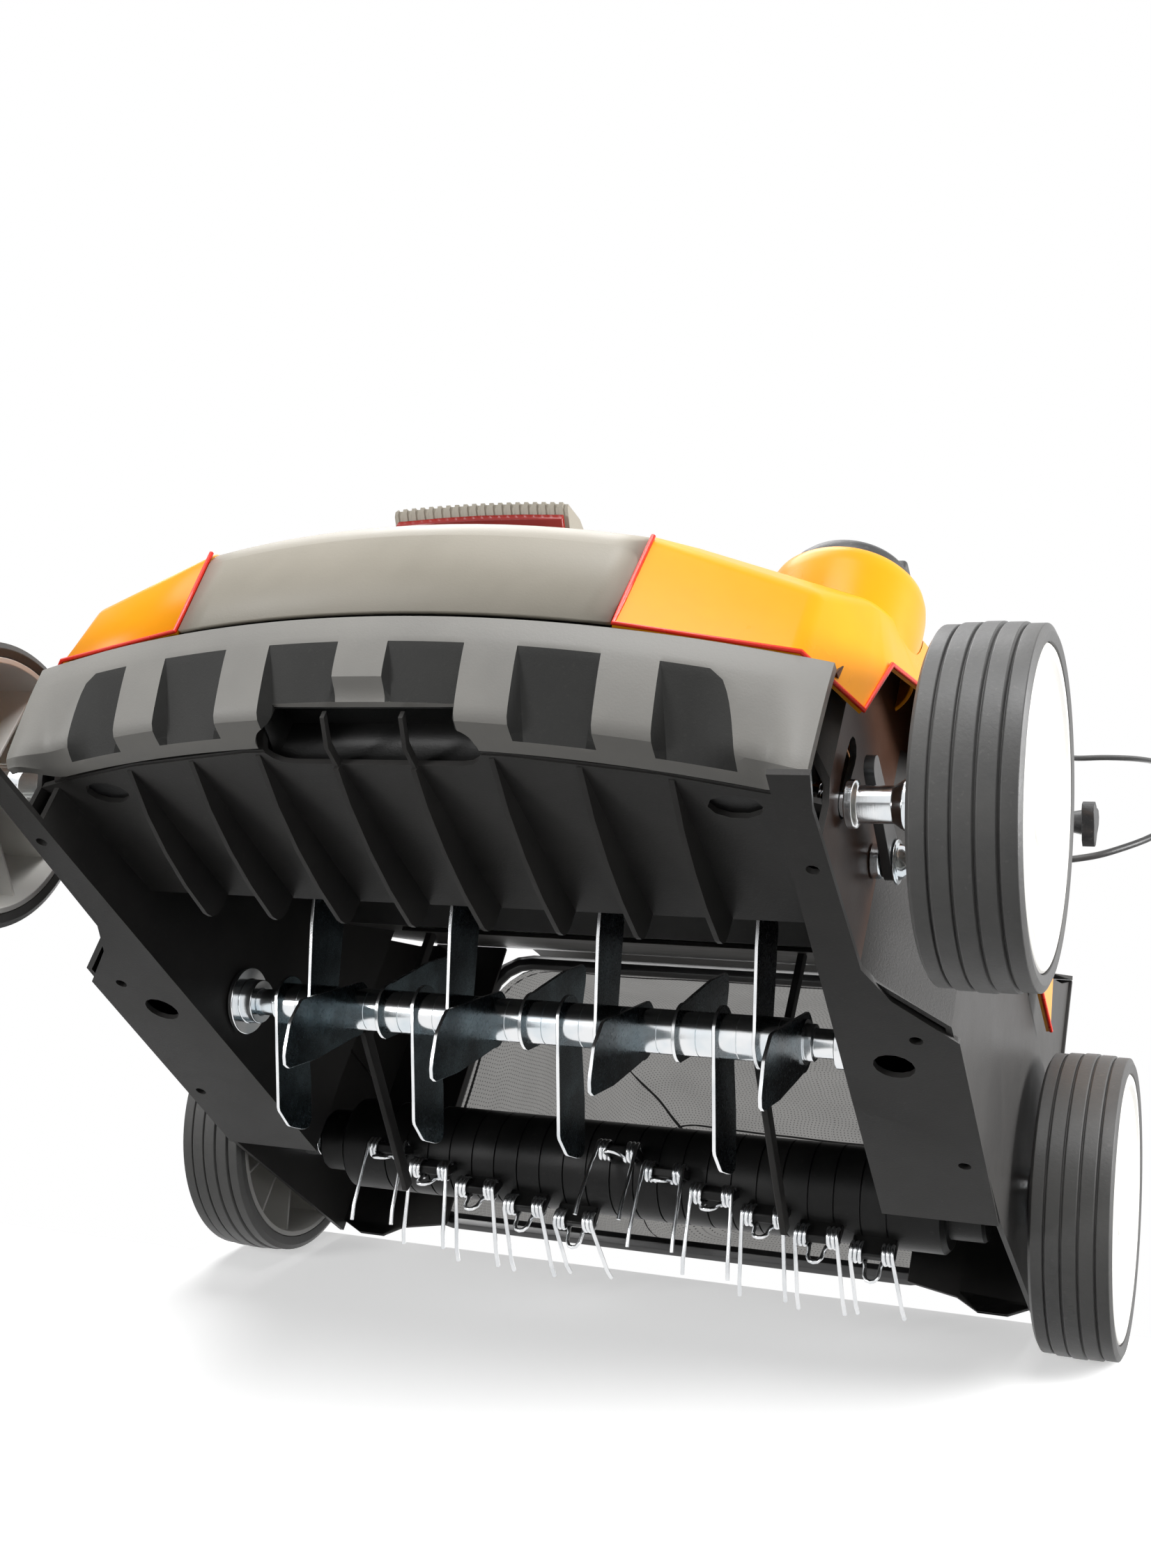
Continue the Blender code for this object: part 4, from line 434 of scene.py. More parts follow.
# %% [markdown]
# ## Helpers for shapes
#
# Most pieces of a machine are turned, drawn or pressed, so three helpers cover them: a profile
# spun round an axis, a wire swept along a path, and a sheet raised from an outline. Each helper
# ends in `settle`, which gives the piece its finish, hangs it on the body that carries it and
# hides the imported nodes it stands for.

# %% Finish a piece
WELD = 0.000001


def settle(name, mesh, look, body, slot, stands_for=(), smooth=35):
    made = add_object(name, mesh)
    mesh.materials.clear()
    for each in look if isinstance(look, list) else [look]:
        mesh.materials.append(each)
    mesh.shade_smooth()
    mesh.set_sharp_from_angle(angle=math.radians(smooth))
    if body:
        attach(made, body)
    if stands_for:
        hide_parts(*stands_for)
    return made


def plain_mesh(name, bm):
    mesh = bpy.data.meshes.new(name)
    bm.to_mesh(mesh)
    bm.free()
    return mesh


def to_mesh(name, bm):
    bmesh.ops.remove_doubles(bm, verts=bm.verts, dist=WELD)
    bmesh.ops.recalc_face_normals(bm, faces=bm.faces)
    return plain_mesh(name, bm)


def built(name, bm, *rest):
    """Settle what was built in an edit mesh; the rest is as for `settle`."""
    return settle(name, to_mesh(name, bm), *rest)


def soften(made, width=0.0006, segments=2, angle=32):
    """Round the hard edges of a finished piece."""
    bevel = made.modifiers.new("soft_edges", "BEVEL")
    bevel.width = width
    bevel.segments = segments
    bevel.limit_method = "ANGLE"
    bevel.angle_limit = math.radians(angle)
    return made


def thicken(made, wall, even=False):
    """Give an open sheet its wall, on the inner side."""
    solid = made.modifiers.new("wall", "SOLIDIFY")
    solid.thickness = wall
    solid.offset = -1.0
    solid.use_even_offset = even


def final_mesh(made):
    """The mesh of an object after its modifiers, or of a curve with its tube."""
    graph = bpy.context.evaluated_depsgraph_get()
    return bpy.data.meshes.new_from_object(made.evaluated_get(graph))


# %% Blocks and raised faces


def lift(bm, faces, shift):
    """Raise faces into a solid, by one shift."""
    fresh = bmesh.ops.extrude_face_region(bm, geom=faces)["geom"]
    bmesh.ops.translate(bm, vec=shift, verts=[each for each in fresh if isinstance(each, bmesh.types.BMVert)])


def block_into(bm, size, place):
    """A block of one size, moved by a matrix."""
    fresh = bmesh.ops.create_cube(bm, size=1.0)["verts"]
    bmesh.ops.scale(bm, vec=size, verts=fresh)
    bmesh.ops.transform(bm, matrix=place, verts=fresh)


# %% Turned pieces
TO_X = Matrix.Rotation(math.radians(90), 4, "Y")
FINE_STEPS = 112


def spin_into(bm, profile, axis, centre, steps=96):
    """Spin (radius, height) points round +X or +Z through the centre, into a mesh being built."""
    ring = [bm.verts.new((radius, 0, height)) for radius, height in profile]
    edges = [bm.edges.new(ends) for ends in zip(ring, ring[1:])]
    if profile[0][0] > 0:
        edges.append(bm.edges.new((ring[-1], ring[0])))
    before = set(bm.verts) - set(ring)
    bmesh.ops.spin(bm, geom=ring + edges, cent=(0, 0, 0), axis=(0, 0, 1), angle=2 * math.pi, steps=steps,
                   use_merge=True)
    place = Matrix.Translation(centre) @ (TO_X if axis == "X" else Matrix.Identity(4))
    bmesh.ops.transform(bm, matrix=place, verts=[vertex for vertex in bm.verts if vertex not in before])


def turned(name, profile, axis, centre, look, body, slot, stands_for=(), steps=96, edge=0.0005):
    bm = bmesh.new()
    spin_into(bm, profile, axis, centre, steps)
    made = built(name, bm, look, body, slot, stands_for)
    return soften(made, edge) if edge else made


def turned_pair(name, profile, centre, packed):
    """The same zinc piece on the left and on the right of the chassis."""
    for side, sign in SIDES:
        mirrored = [(radius, sign * height) for radius, height in profile]
        turned(name + side, mirrored, "X", centre, ZINC, "chassis", "zinc", [packed + side])


def both_ends(half):
    """A profile from its upper half, mirrored in the middle."""
    return half + [(radius, -height) for radius, height in half[::-1]]


# %% Lines for wires and tubes


def smooth_line(points, steps):
    """A curve through all the points, by Catmull and Rom's rule."""
    points = [Vector(point) for point in points]
    ends = [2 * points[0] - points[1]] + points + [2 * points[-1] - points[-2]]
    line = []
    for p0, p1, p2, p3 in zip(ends, ends[1:], ends[2:], ends[3:]):
        for step in range(steps):
            t = step / steps
            line.append(0.5 * (2 * p1 + (p2 - p0) * t + (2 * p0 - 5 * p1 + 4 * p2 - p3) * t ** 2
                               + (3 * p1 - p0 - 3 * p2 + p3) * t ** 3))
    return line + [points[-1]]


def rounded_line(points, radius, steps):
    """Straight runs joined by arcs, as a tube bender makes them."""
    line = [Vector(points[0])]
    for before, corner, after in zip(points, points[1:], points[2:]):
        corner = Vector(corner)
        back = (Vector(before) - corner).normalized()
        ahead = (Vector(after) - corner).normalized()
        half = back.angle(ahead) / 2
        start = corner + back * radius / math.tan(half)
        end = corner + ahead * radius / math.tan(half)
        centre = corner + (back + ahead).normalized() * radius / math.sin(half)
        turn = (start - centre).rotation_difference(end - centre)
        for step in range(steps + 1):
            part = Matrix.Identity(3).to_quaternion().slerp(turn, step / steps)
            line.append(centre + part @ (start - centre))
    return line + [Vector(points[-1])]


def arc(centre, radius, start, end, steps):
    """Points on an arc, by angles in degrees."""
    turns = [math.radians(start + (end - start) * step / steps) for step in range(steps + 1)]
    return [(centre[0] + radius * math.cos(turn), centre[1] + radius * math.sin(turn)) for turn in turns]


# %% Curves made into wires and sheets


def drawn(curve, lines, closed):
    """The mesh that a curve makes of some lines of points."""
    for line in lines:
        spline = curve.splines.new("POLY")
        spline.points.add(len(line) - 1)
        for point, place in zip(spline.points, line):
            point.co = (*place, 1)
        spline.use_cyclic_u = closed
    made = add_object(curve.name, curve)
    mesh = final_mesh(made)
    bpy.data.objects.remove(made, do_unlink=True)
    return mesh


def wire(name, lines, radius, sides, look, body, slot, stands_for=(), smooth=35, closed=False):
    """Tubes of one radius along several lines, as one piece."""
    curve = bpy.data.curves.new(name, "CURVE")
    curve.dimensions = "3D"
    curve.bevel_depth = radius
    curve.bevel_resolution = sides
    curve.use_fill_caps = not closed
    bm = bmesh.new()
    bm.from_mesh(drawn(curve, lines, closed))
    return built(name, bm, look, body, slot, stands_for, smooth)


def slab_into(bm, outline, holes, low, high, place):
    """A flat outline in Y and Z with holes, as thick as low to high along X, then moved by a matrix."""
    curve = bpy.data.curves.new("slab", "CURVE")
    curve.dimensions = "2D"
    curve.fill_mode = "BOTH"
    curve.extrude = (high - low) / 2
    mesh = drawn(curve, [[(u, v, 0) for u, v in ring] for ring in (outline, *holes)], True)
    across = Matrix(((0, 0, 1), (1, 0, 0), (0, 1, 0))).to_4x4()
    mesh.transform(place @ across @ Matrix.Translation((0, 0, (low + high) / 2)))
    bm.from_mesh(mesh)


def plate(name, outline, low, high, place, look, body, slot, edge, segments=2):
    """A flat sheet of one outline, with softened edges."""
    bm = bmesh.new()
    slab_into(bm, outline, [], low, high, place)
    return soften(built(name, bm, look, body, slot), edge, segments)


print("shape helpers ready")

# %% [markdown]
# ## Wheels
#
# The tyres are hard rubber with five flat bands and a groove between each two. The off-white
# discs are closed and slightly domed outside. Inside they are open, with ribs between the hub
# and the rim. A fine profile spun in 112 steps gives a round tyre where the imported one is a
# polygon, and it is drawn to the polygon's flats, so that it still stands on the ground.

# %% Wheel sizes
FACETS = 28
FLAT = math.cos(math.pi / FACETS)
RIM_SHARE = 1 - 0.118
WHEEL_HALF = 0.0230
AXLE_RADIUS = 0.0060
WHEELBASE = 0.4105
TREAD_BANDS = 5
RIBS = 12
WHEELS = {  # radius, half track, axle
    "front": (0.080, 0.2795, at(0, 0, 0.080 * FLAT)),
    "rear": (0.090, 0.2820, at(0, WHEELBASE, 0.090 * FLAT)),
}


def tyre_profile(radius):
    """Outer line from the outer wall to the inner one, with four grooves, then back inside."""
    inner = radius * RIM_SHARE + 0.0004
    band = 2 * WHEEL_HALF / TREAD_BANDS
    last = TREAD_BANDS - 1
    points = [(inner, WHEEL_HALF - 0.0008), (radius - 0.0045, WHEEL_HALF),
              (radius - 0.0012, WHEEL_HALF - 0.0016)]
    for index in range(TREAD_BANDS):
        high = WHEEL_HALF - band * index - (0.0016 if index == 0 else 0.0005)
        low = WHEEL_HALF - band * (index + 1) + (0.0016 if index == last else 0.0005)
        crown = radius - 0.0004 * abs(index - 2) ** 1.5
        if index:
            points.append((crown - 0.0014, high + 0.0003))
        points += [(crown, high - 0.0004), (crown, low + 0.0004)]
        if index < last:
            points.append((crown - 0.0014, low - 0.0003))
    return points + [(radius - 0.0045, -WHEEL_HALF), (inner, 0.0008 - WHEEL_HALF)]


def disc_profile(rim):
    """Outer face from the middle to the rim, then the inside back to the hub's bore."""
    half = WHEEL_HALF
    bore = AXLE_RADIUS + 0.0004
    return [(0, half - 0.0040), (0.0150, half - 0.0042), (0.0165, half - 0.0052), (0.0185, half - 0.0044),
            (rim - 0.0120, half - 0.0016), (rim - 0.0095, half - 0.0030), (rim - 0.0060, half - 0.0006),
            (rim - 0.0015, half - 0.0008), (rim, half - 0.0020), (rim, 0.0006 - half),
            (rim - 0.0032, 0.0006 - half), (rim - 0.0042, half - 0.0060), (0.0360, half - 0.0070),
            (0.0360, half - 0.0150), (0.0340, half - 0.0150), (0.0340, half - 0.0072),
            (0.0125, half - 0.0080), (0.0118, 0.0030 - half), (bore, 0.0030 - half), (bore, half - 0.0110),
            (0, half - 0.0110)]


def add_wheel(end, side, sign):
    radius, track, axle = WHEELS[end]
    rim = radius * RIM_SHARE * FLAT
    place = Matrix.Translation(axle + Vector((sign * track, 0, 0)))
    if sign < 0:
        place = place @ Matrix.Rotation(math.pi, 4, "Z")
    body, tail = end + "_wheel_" + side, end + "_" + side
    bm = bmesh.new()
    spin_into(bm, tyre_profile(radius * FLAT), "X", (0, 0, 0), FINE_STEPS)
    bmesh.ops.transform(bm, matrix=place, verts=bm.verts)
    tyre = soften(built("tread_" + tail, bm, TYRE, body, "tyre", ["tyre_" + tail], 40), 0.0003)
    bm = bmesh.new()
    spin_into(bm, disc_profile(rim), "X", (0, 0, 0), FINE_STEPS)
    for index in range(RIBS):
        turn = Matrix.Rotation(2 * math.pi * index / RIBS, 4, "X")
        block_into(bm, (2 * WHEEL_HALF - 0.0180, rim - 0.0150, 0.0018),
                   turn @ Matrix.Translation((0.0005, (rim - 0.0150) / 2 + 0.0120, 0)))
    bmesh.ops.transform(bm, matrix=place, verts=bm.verts)
    disc = built("disc_" + tail, bm, DISC, body, "disc", ["wheel_" + tail])
    return tyre, soften(disc, 0.0004)


for end in WHEELS:
    for side, sign in SIDES:
        tyre, disc = add_wheel(end, side, sign)
        print(tyre.name, len(tyre.data.polygons), "faces;", disc.name, len(disc.data.polygons), "faces")

# %% [markdown]
# ## Axles, shaft and bearings
#
# These are bright zinc-plated steel turned on a lathe, so each is a profile spun round X. Only
# the profile matters: the collars of the front axle, the plates of the stub axles, and the sleeve
# that spaces the blades along the shaft.

# %% Steel on the front and rear axles
collar = [(0, 0.2910), (AXLE_RADIUS, 0.2910), (AXLE_RADIUS, 0.2590), (0.0090, 0.2590), (0.0120, 0.2560),
          (0.0120, 0.2410), (0.0085, 0.2360), (0.0085, 0.2200), (0.0110, 0.2190), (0.0110, 0.2150),
          (AXLE_RADIUS, 0.2150)]
turned("axle_with_collars", both_ends(collar), "X", WHEELS["front"][2], ZINC, "crank", "zinc", ["front_axle"])
stub = [(0, 0.2935), (AXLE_RADIUS, 0.2935), (AXLE_RADIUS, 0.2553), (0.0100, 0.2553), (0.0180, 0.2523),
        (0.0180, 0.2493), (0, 0.2493)]
turned_pair("stub_axle_", stub, WHEELS["rear"][2], "rear_axle_")
PIVOT = at(0, 0.064, 0.0936)
head = [(0, 0.2183), (0.0070, 0.2183), (0.0085, 0.2168), (0.0085, 0.2123), (0.0040, 0.2123)]
turned("crank_bolt", both_ends(head), "X", PIVOT, ZINC, "chassis", "zinc", ["crank_rod"], 48)
nut = [(0, 0.2300), (0.0050, 0.2298), (0.0078, 0.2275), (0.0088, 0.2250), (0.0110, 0.2248), (0.0110, 0.2236),
       (0, 0.2236)]
turned("lever_nut", nut, "X", PIVOT, ZINC, "chassis", "zinc")
lever_outline = arc((0.0040, 0.1030), 0.0058, 80, 262, 12) + arc((0.064, 0.0936), 0.0090, -88, 86, 14)
plate("crank_lever", lever_outline, 0.2186, 0.2234, FROM_AXLE, DARK_STEEL, "crank", "dark_steel", 0.0012, 3)

# %% Blade shaft and bearings
BLADE_AXIS = at(0, 0.190, 0.0635)
shaft = [(0, 0.1878), (0.0078, 0.1878), (0.0078, 0.1643), (0.0100, 0.1643), (0.0100, -0.1643),
         (0.0078, -0.1643), (0.0078, -0.2065), (0, -0.2065)]
turned("shaft_core", shaft, "X", BLADE_AXIS, ZINC, "blade_roller", "zinc", ["blade_shaft"])
seat = [(0.0200, 0.1880), (0.0200, 0.1850), (0.0130, 0.1848), (0.0130, 0.1765), (0.0081, 0.1765),
        (0.0081, 0.1880)]
turned_pair("bearing_", seat, BLADE_AXIS, "blade_bearing_")

# %% [markdown]
# ## Blades
#
# Fifteen pressed blades stand on the shaft in four directions. A blade has a round hub, a
# straight back, and a tip with its leading corner cut off. The outline is drawn once, raised to
# 2 mm, and turned to its place; a bevel of 0.25 mm gives the sheared edges the bright line that
# they have. A zinc sleeve with a fine groove between each two blades spaces them.

# %% Blades on their sleeve
BLADE_ANGLES = (-40.0, 128.0, -131.0, 50.0)
BLADE_COUNT = 15
BLADE_PITCH = 0.0225
BLADE_HALF_THICK = 0.0010
SLEEVE = 0.0122


def stand(axis, index, count, pitch, angle):
    """The matrix of one of several evenly spaced places on a roller, turned by its angle."""
    across = (index - (count - 1) / 2) * pitch
    return Matrix.Translation(axis + Vector((across, 0, 0))) @ Matrix.Rotation(math.radians(angle), 4, "X")


hub = arc((0, 0), 0.0165, 70, 236, 18)
leading = [(0.0200, -0.0185), (0.0400, -0.0215), (0.0560, -0.0240), (0.0585, -0.0236)]
chamfer = [(0.0705, -0.0160), (0.0722, -0.0142), (0.0785, -0.0030), (0.0800, 0.0010), (0.0802, 0.0060)]
blade_outline = hub + leading + chamfer + [(0.0770, 0.0090), (0.0500, 0.0135), (0.0200, 0.0150)]
bore = arc((0, 0), SLEEVE - 0.0006, 0, 360, 32)[:-1]
bm = bmesh.new()
for index in range(BLADE_COUNT):
    slab_into(bm, blade_outline, [bore], -BLADE_HALF_THICK, BLADE_HALF_THICK,
              stand(BLADE_AXIS, index, BLADE_COUNT, BLADE_PITCH, BLADE_ANGLES[index % 4]))
blades = built("blades", bm, [BLADE, SHEARED], "blade_roller", "blade", ["scarifier_blades"])
for face in blades.data.polygons:
    face.material_index = 0 if abs(face.normal.x) > 0.9 else 1
soften(blades, 0.00025, 2)
span = (BLADE_COUNT - 1) / 2 * BLADE_PITCH + 0.002
rings = [(SLEEVE, span)]
for index in range(BLADE_COUNT - 1, 0, -1):
    joint = (index - BLADE_COUNT / 2) * BLADE_PITCH
    rings += [(SLEEVE, joint + 0.0003), (SLEEVE - 0.0004, joint), (SLEEVE, joint - 0.0003)]
turned("sleeve", rings + [(SLEEVE, -span), (0.0103, -span), (0.0103, span)], "X", BLADE_AXIS, ZINC,
       "blade_roller", "zinc", edge=0.0)
print("blades:", BLADE_COUNT, "with", len(blades.data.polygons), "faces")

# %% [markdown]
# ## Tine roller
#
# The black core is moulded in short drums, with a seat between each two for a double spring.
# A spring is one wire: two coils side by side, an arm from each that ends in a bent tip, and a
# loop between the coils that hooks into the core. The wire is swept along a line that is drawn
# once in the spring's own axes and then turned to each seat, which climb round the roller.

# %% Roller core
TINE_AXIS = at(0, 0.400, 0.0750)
TINE_COUNT = 11
TINE_PITCH = 0.0325
CORE = 0.0300
CORE_HALF = 0.2050
half = CORE_HALF
core = [(0.0079, half + 0.022), (0.019, half + 0.022), (0.0205, half + 0.020), (0.0205, half),
        (CORE - 0.003, half), (CORE, half - 0.003)]
for index in range(TINE_COUNT - 1, -1, -1):
    middle = (index - (TINE_COUNT - 1) / 2) * TINE_PITCH
    for joint in (middle + 0.0080, middle - 0.0080):
        core += [(CORE, joint + 0.0006), (CORE - 0.0010, joint + 0.0003), (CORE - 0.0010, joint - 0.0003),
                 (CORE, joint - 0.0006)]
core += [(CORE, 0.003 - half), (CORE - 0.003, -half), (0.0205, -half), (0.0205, -half - 0.020),
         (0.019, -half - 0.022), (0.0079, -half - 0.022)]
turned("drums", core, "X", TINE_AXIS, PACK, "tine_roller", "pack", ["tine_core"], edge=0.0)

# %% Double springs
COIL_AT = CORE + 0.0090
COIL = 0.0058
COIL_TURNS = 3
COIL_STEPS = 14 * COIL_TURNS
SPRING_WIRE = 0.0013
TRAIL = math.radians(-40.0)


def trailing(x, out, along):
    """A point beside the seat, turned back round the roller by the coils' trail."""
    return (x, out * math.cos(TRAIL) - along * math.sin(TRAIL),
            out * math.sin(TRAIL) + along * math.cos(TRAIL))


def spring_line(place):
    """The wire of one double spring: tip, arm, three turns, hook, and the same mirrored.

    The coils sit behind the tips, seen from the axis, so the arms lie almost along the core.
    """
    half = [(0.0145, 0.0720, 0.0010), (0.0143, 0.0655, -0.0062), (0.0141, 0.0610, -0.0094)]
    for step in range(COIL_STEPS + 1):
        share = step / COIL_STEPS
        angle = math.radians(109 + (360 * COIL_TURNS - 64) * share)
        x = 0.0130 - 0.0078 * share
        half.append(trailing(x, COIL_AT + COIL * math.sin(angle), COIL * math.cos(angle)))
    for x, out, along in ((0.0047, 0.0072, 0.0046), (0.0042, 0.0125, 0.0050), (0.0024, 0.0156, 0.0051),
                          (0.0, 0.0164, 0.0051)):
        half.append(trailing(x, out + COIL_AT, along))
    return [place @ Vector(point) for point in half + [(-x, y, z) for x, y, z in half[-2::-1]]]


spring_wires = []
bm = bmesh.new()
for index in range(TINE_COUNT):
    angle = -112.0 + 15.0 * index if index < 5 else -132.0 + 15.0 * (index - 5)
    place = stand(TINE_AXIS, index, TINE_COUNT, TINE_PITCH, angle)
    spring_wires.append(spring_line(place))
    block_into(bm, (0.0270, 0.0150, 0.0062),
               place @ Matrix.Rotation(TRAIL, 4, "X") @ Matrix.Translation((0, CORE + 0.0050, 0)))
springs = wire("springs", spring_wires, SPRING_WIRE, 3, WIRE, "tine_roller", "zinc", ["tine_springs"], 60)
soften(built("spring_seats", bm, PACK, "tine_roller", "pack"), 0.0012)
turned("tine_shaft", [(0, 0.2457), (0.0075, 0.2457), (0.0075, -0.2457), (0, -0.2457)], "X", TINE_AXIS, ZINC,
       "tine_roller", "zinc")
turned_pair("tine_ring_", [(0.0125, 0.2457), (0.0125, 0.2327), (0.0078, 0.2327), (0.0078, 0.2457)], TINE_AXIS,
            "tine_bearing_")
print("springs:", TINE_COUNT, "with", len(springs.data.polygons), "faces")

# %% [markdown]
# ## Bumper
#
# The bumper is one thick moulding, bowed across the machine. Its body leans back and rounds
# under, and six wedge pockets are cut into it: each has a floor that runs straight from its top
# edge down to the foot, so it is deepest where the body bulges most. The two middle pockets end
# at the mouth of the air intake. The surface is a grid, whose columns follow the bow and whose
# rows follow the section, and the columns inside a pocket lie on its floor. A Boolean then cuts
# the intake, because its round slot doesn't follow the grid.

# %% Bumper section
NOSE = -0.0880
CROWN = 0.80
BUMPER_HALF = 0.2125
BODY_LINE = [  # how far each row stands back from the nose, and its height
    (0.0006, 0.1172), (0.0, 0.1164), (0.0, 0.1110), (0.0003, 0.1055), (0.0009, 0.1022),
    (0.0020, 0.0980), (0.0035, 0.0930), (0.0052, 0.0880), (0.0070, 0.0830), (0.0088, 0.0782),
    (0.0104, 0.0742), (0.0122, 0.0706), (0.0150, 0.0681), (0.0192, 0.0670), (0.0240, 0.0662),
    (0.0272, 0.0652)]
MIDDLE_LINE = BODY_LINE[:7] + [
    (0.0050, 0.0885), (0.0064, 0.0856), (0.0084, 0.0844), (0.0112, 0.0830), (0.0145, 0.0808),
    (0.0168, 0.0780), (0.0200, 0.0735), (0.0240, 0.0662), (0.0272, 0.0652)]
POCKET_TOP = 4
POCKET_FOOT = 14
POCKETS = ((0.0130, 0.0512), (0.0765, 0.1148), (0.1409, 0.1660))
DRAFT = 0.0045
WALL = 0.0004
FADE = 0.0100


def ease(value, low, high):
    share = min(1.0, max(0.0, (value - low) / (high - low)))
    return share * share * (3 - 2 * share)


def bumper_columns():
    """Columns from the middle to the end: X at the pocket's top, how X moves below, and depth."""
    columns = [(0.0, 0.0, 0.0, 0.0)]
    last = 0.0
    for index, (low, high) in enumerate(POCKETS):
        spaces = max(2, round((low - last) / 0.006))
        columns += [(last + (low - last) * k / spaces, 0.0, 0.0, 0.0) for k in range(1, spaces)]
        columns += [(low, 0.0, 0.0, 0.0), (low + WALL, DRAFT, 0.0, 1.0)]
        outer = index == len(POCKETS) - 1
        inner_end = high - (FADE if outer else WALL)
        for k in range(1, 8):
            share = k / 8
            draft = DRAFT * (1 - share if outer else 1 - 2 * share)
            columns.append((low + (inner_end - low) * share, draft, 0.0, 1.0))
        if outer:
            columns += [(high - FADE * (1 - k / 6), 0.0, 0.0200 * k / 6, 1 - ease(k, 0, 6)) for k in range(7)]
        else:
            columns += [(inner_end, -DRAFT, 0.0, 1.0), (high, 0.0, 0.0, 0.0)]
        last = high + (0.0210 if outer else 0.0)
    return columns + [(last + (BUMPER_HALF - last) * k / 10, 0.0, 0.0, 0.0) for k in range(1, 11)]


def bumper_place(column, row):
    """A point on the outer face for one column and one row of the section."""
    across, draft, bulge, depth = column
    lean, z = (MIDDLE_LINE if across < POCKETS[0][0] + 0.0001 else BODY_LINE)[row]
    share = min(1.0, max(0.0, (row - POCKET_TOP) / (POCKET_FOOT - POCKET_TOP)))
    x = across + draft * share + bulge * math.sqrt(1 - (1 - share) ** 2)
    if 0 < share < 1:
        top_lean, top_z = BODY_LINE[POCKET_TOP]
        foot_lean, foot_z = BODY_LINE[POCKET_FOOT]
        lean += depth * (top_lean + (foot_lean - top_lean) * share - lean)
        z += depth * (top_z + (foot_z - top_z) * share - z)
    end = ease(x, 0.186, 0.208)
    below = (BODY_LINE[0][1] - z) / (BODY_LINE[0][1] - BODY_LINE[-1][1])
    return Vector((x - 0.0030 * end * below, NOSE + CROWN * x * x + lean * (1 - 0.7 * end),
                   z - 0.0075 * end * below))


def bumper_mesh():
    bm = bmesh.new()
    right = bumper_columns()
    columns = [(-x, -draft, -bulge, depth) for x, draft, bulge, depth in right[:0:-1]] + right
    grid = []
    for x, draft, bulge, depth in columns:
        sign = -1 if x < 0 else 1
        column = (abs(x), sign * draft, sign * bulge, depth)
        line = [bumper_place(column, row) for row in range(len(BODY_LINE))]
        grid.append([bm.verts.new(at(sign * place.x, place.y, place.z)) for place in line])
    for left, right in zip(grid, grid[1:]):
        for j in range(len(BODY_LINE) - 1):
            bm.faces.new((left[j], left[j + 1], right[j + 1], right[j]))
    lift(bm, bm.faces[:], (0, 0.0048, 0))
    return to_mesh("bumper", bm)


# %% Cutting the air intake
INTAKE_Y = -0.0541
INTAKE_HALF = 0.0450
INTAKE_RADIUS = 0.0131
TOOL_LOW = 0.02
MOUTH_HALF = 0.0474
MOUTH_TOP = 0.0786


def intake_tool():
    """The air intake to cut with: its slot, as an upright prism, and the mouth in front of it."""
    ring = arc((-INTAKE_HALF, INTAKE_Y), INTAKE_RADIUS, 90, 270, 16)
    ring += arc((INTAKE_HALF, INTAKE_Y), INTAKE_RADIUS, -90, 90, 16)
    bm = bmesh.new()
    lift(bm, [bm.faces.new([bm.verts.new(at(x, y, TOOL_LOW)) for x, y in ring])], (0, 0, 0.073))
    block_into(bm, (2 * MOUTH_HALF, 0.050, MOUTH_TOP - TOOL_LOW),
               Matrix.Translation(at(0, INTAKE_Y - 0.025, (MOUTH_TOP + TOOL_LOW) / 2)))
    bmesh.ops.recalc_face_normals(bm, faces=bm.faces)
    return add_object("intake_tool", plain_mesh("intake_tool", bm))


def cut_with(mesh, tool):
    """The mesh with the tool's shape cut out of it."""
    held = add_object("held", mesh)
    carve = held.modifiers.new("carve", "BOOLEAN")
    carve.operation = "DIFFERENCE"
    carve.solver = "EXACT"
    carve.use_self = True
    carve.object = tool
    result = final_mesh(held)
    bpy.data.objects.remove(held, do_unlink=True)
    bpy.data.objects.remove(tool, do_unlink=True)
    return result


def in_pocket(place):
    """Whether a point of the bumper lies on a pocket's floor or side walls, which take the painted shade."""
    share = (BODY_LINE[POCKET_TOP][1] - place.z) / (BODY_LINE[POCKET_TOP][1] - BODY_LINE[POCKET_FOOT][1])
    behind_face = place.y - AXLE_Y > NOSE + CROWN * place.x ** 2 + 0.0004
    for low, high in POCKETS:
        if high == POCKETS[-1][1]:
            high += 0.0130 * math.sqrt(max(0.0, 1 - (1 - share) ** 2)) - 0.0040
        if 0 < share < 1 and low < abs(place.x) < high and behind_face:
            return True
    return False


bumper_cut = cut_with(bumper_mesh(), intake_tool())
bumper = settle("bumper", bumper_cut, [BUMPER, POCKET_PAINTED_SHADE], "chassis", "bumper", ["front_bumper"], 26)
# Pocket floors and side walls take the pocket finish. This is painted shade, since they are the same plastic
# as the bumper.
for face in bumper.data.polygons:
    face.material_index = int(in_pocket(face.center))
soften(bumper, 0.0004, 2, 26)
print("bumper:", len(bumper.data.polygons), "faces")

# %% [markdown]
# ## Black sheets behind openings
#
# The machine has plain black walls where one would else look through it: a panel on each side
# behind the tine roller, a liner between the front wheel and the cover, the duct above the air
# intake and a lid over each oval pocket. They are flat sheets, so an outline each is enough. The
# liner is tinted brown, a painted reflection of the orange cover.

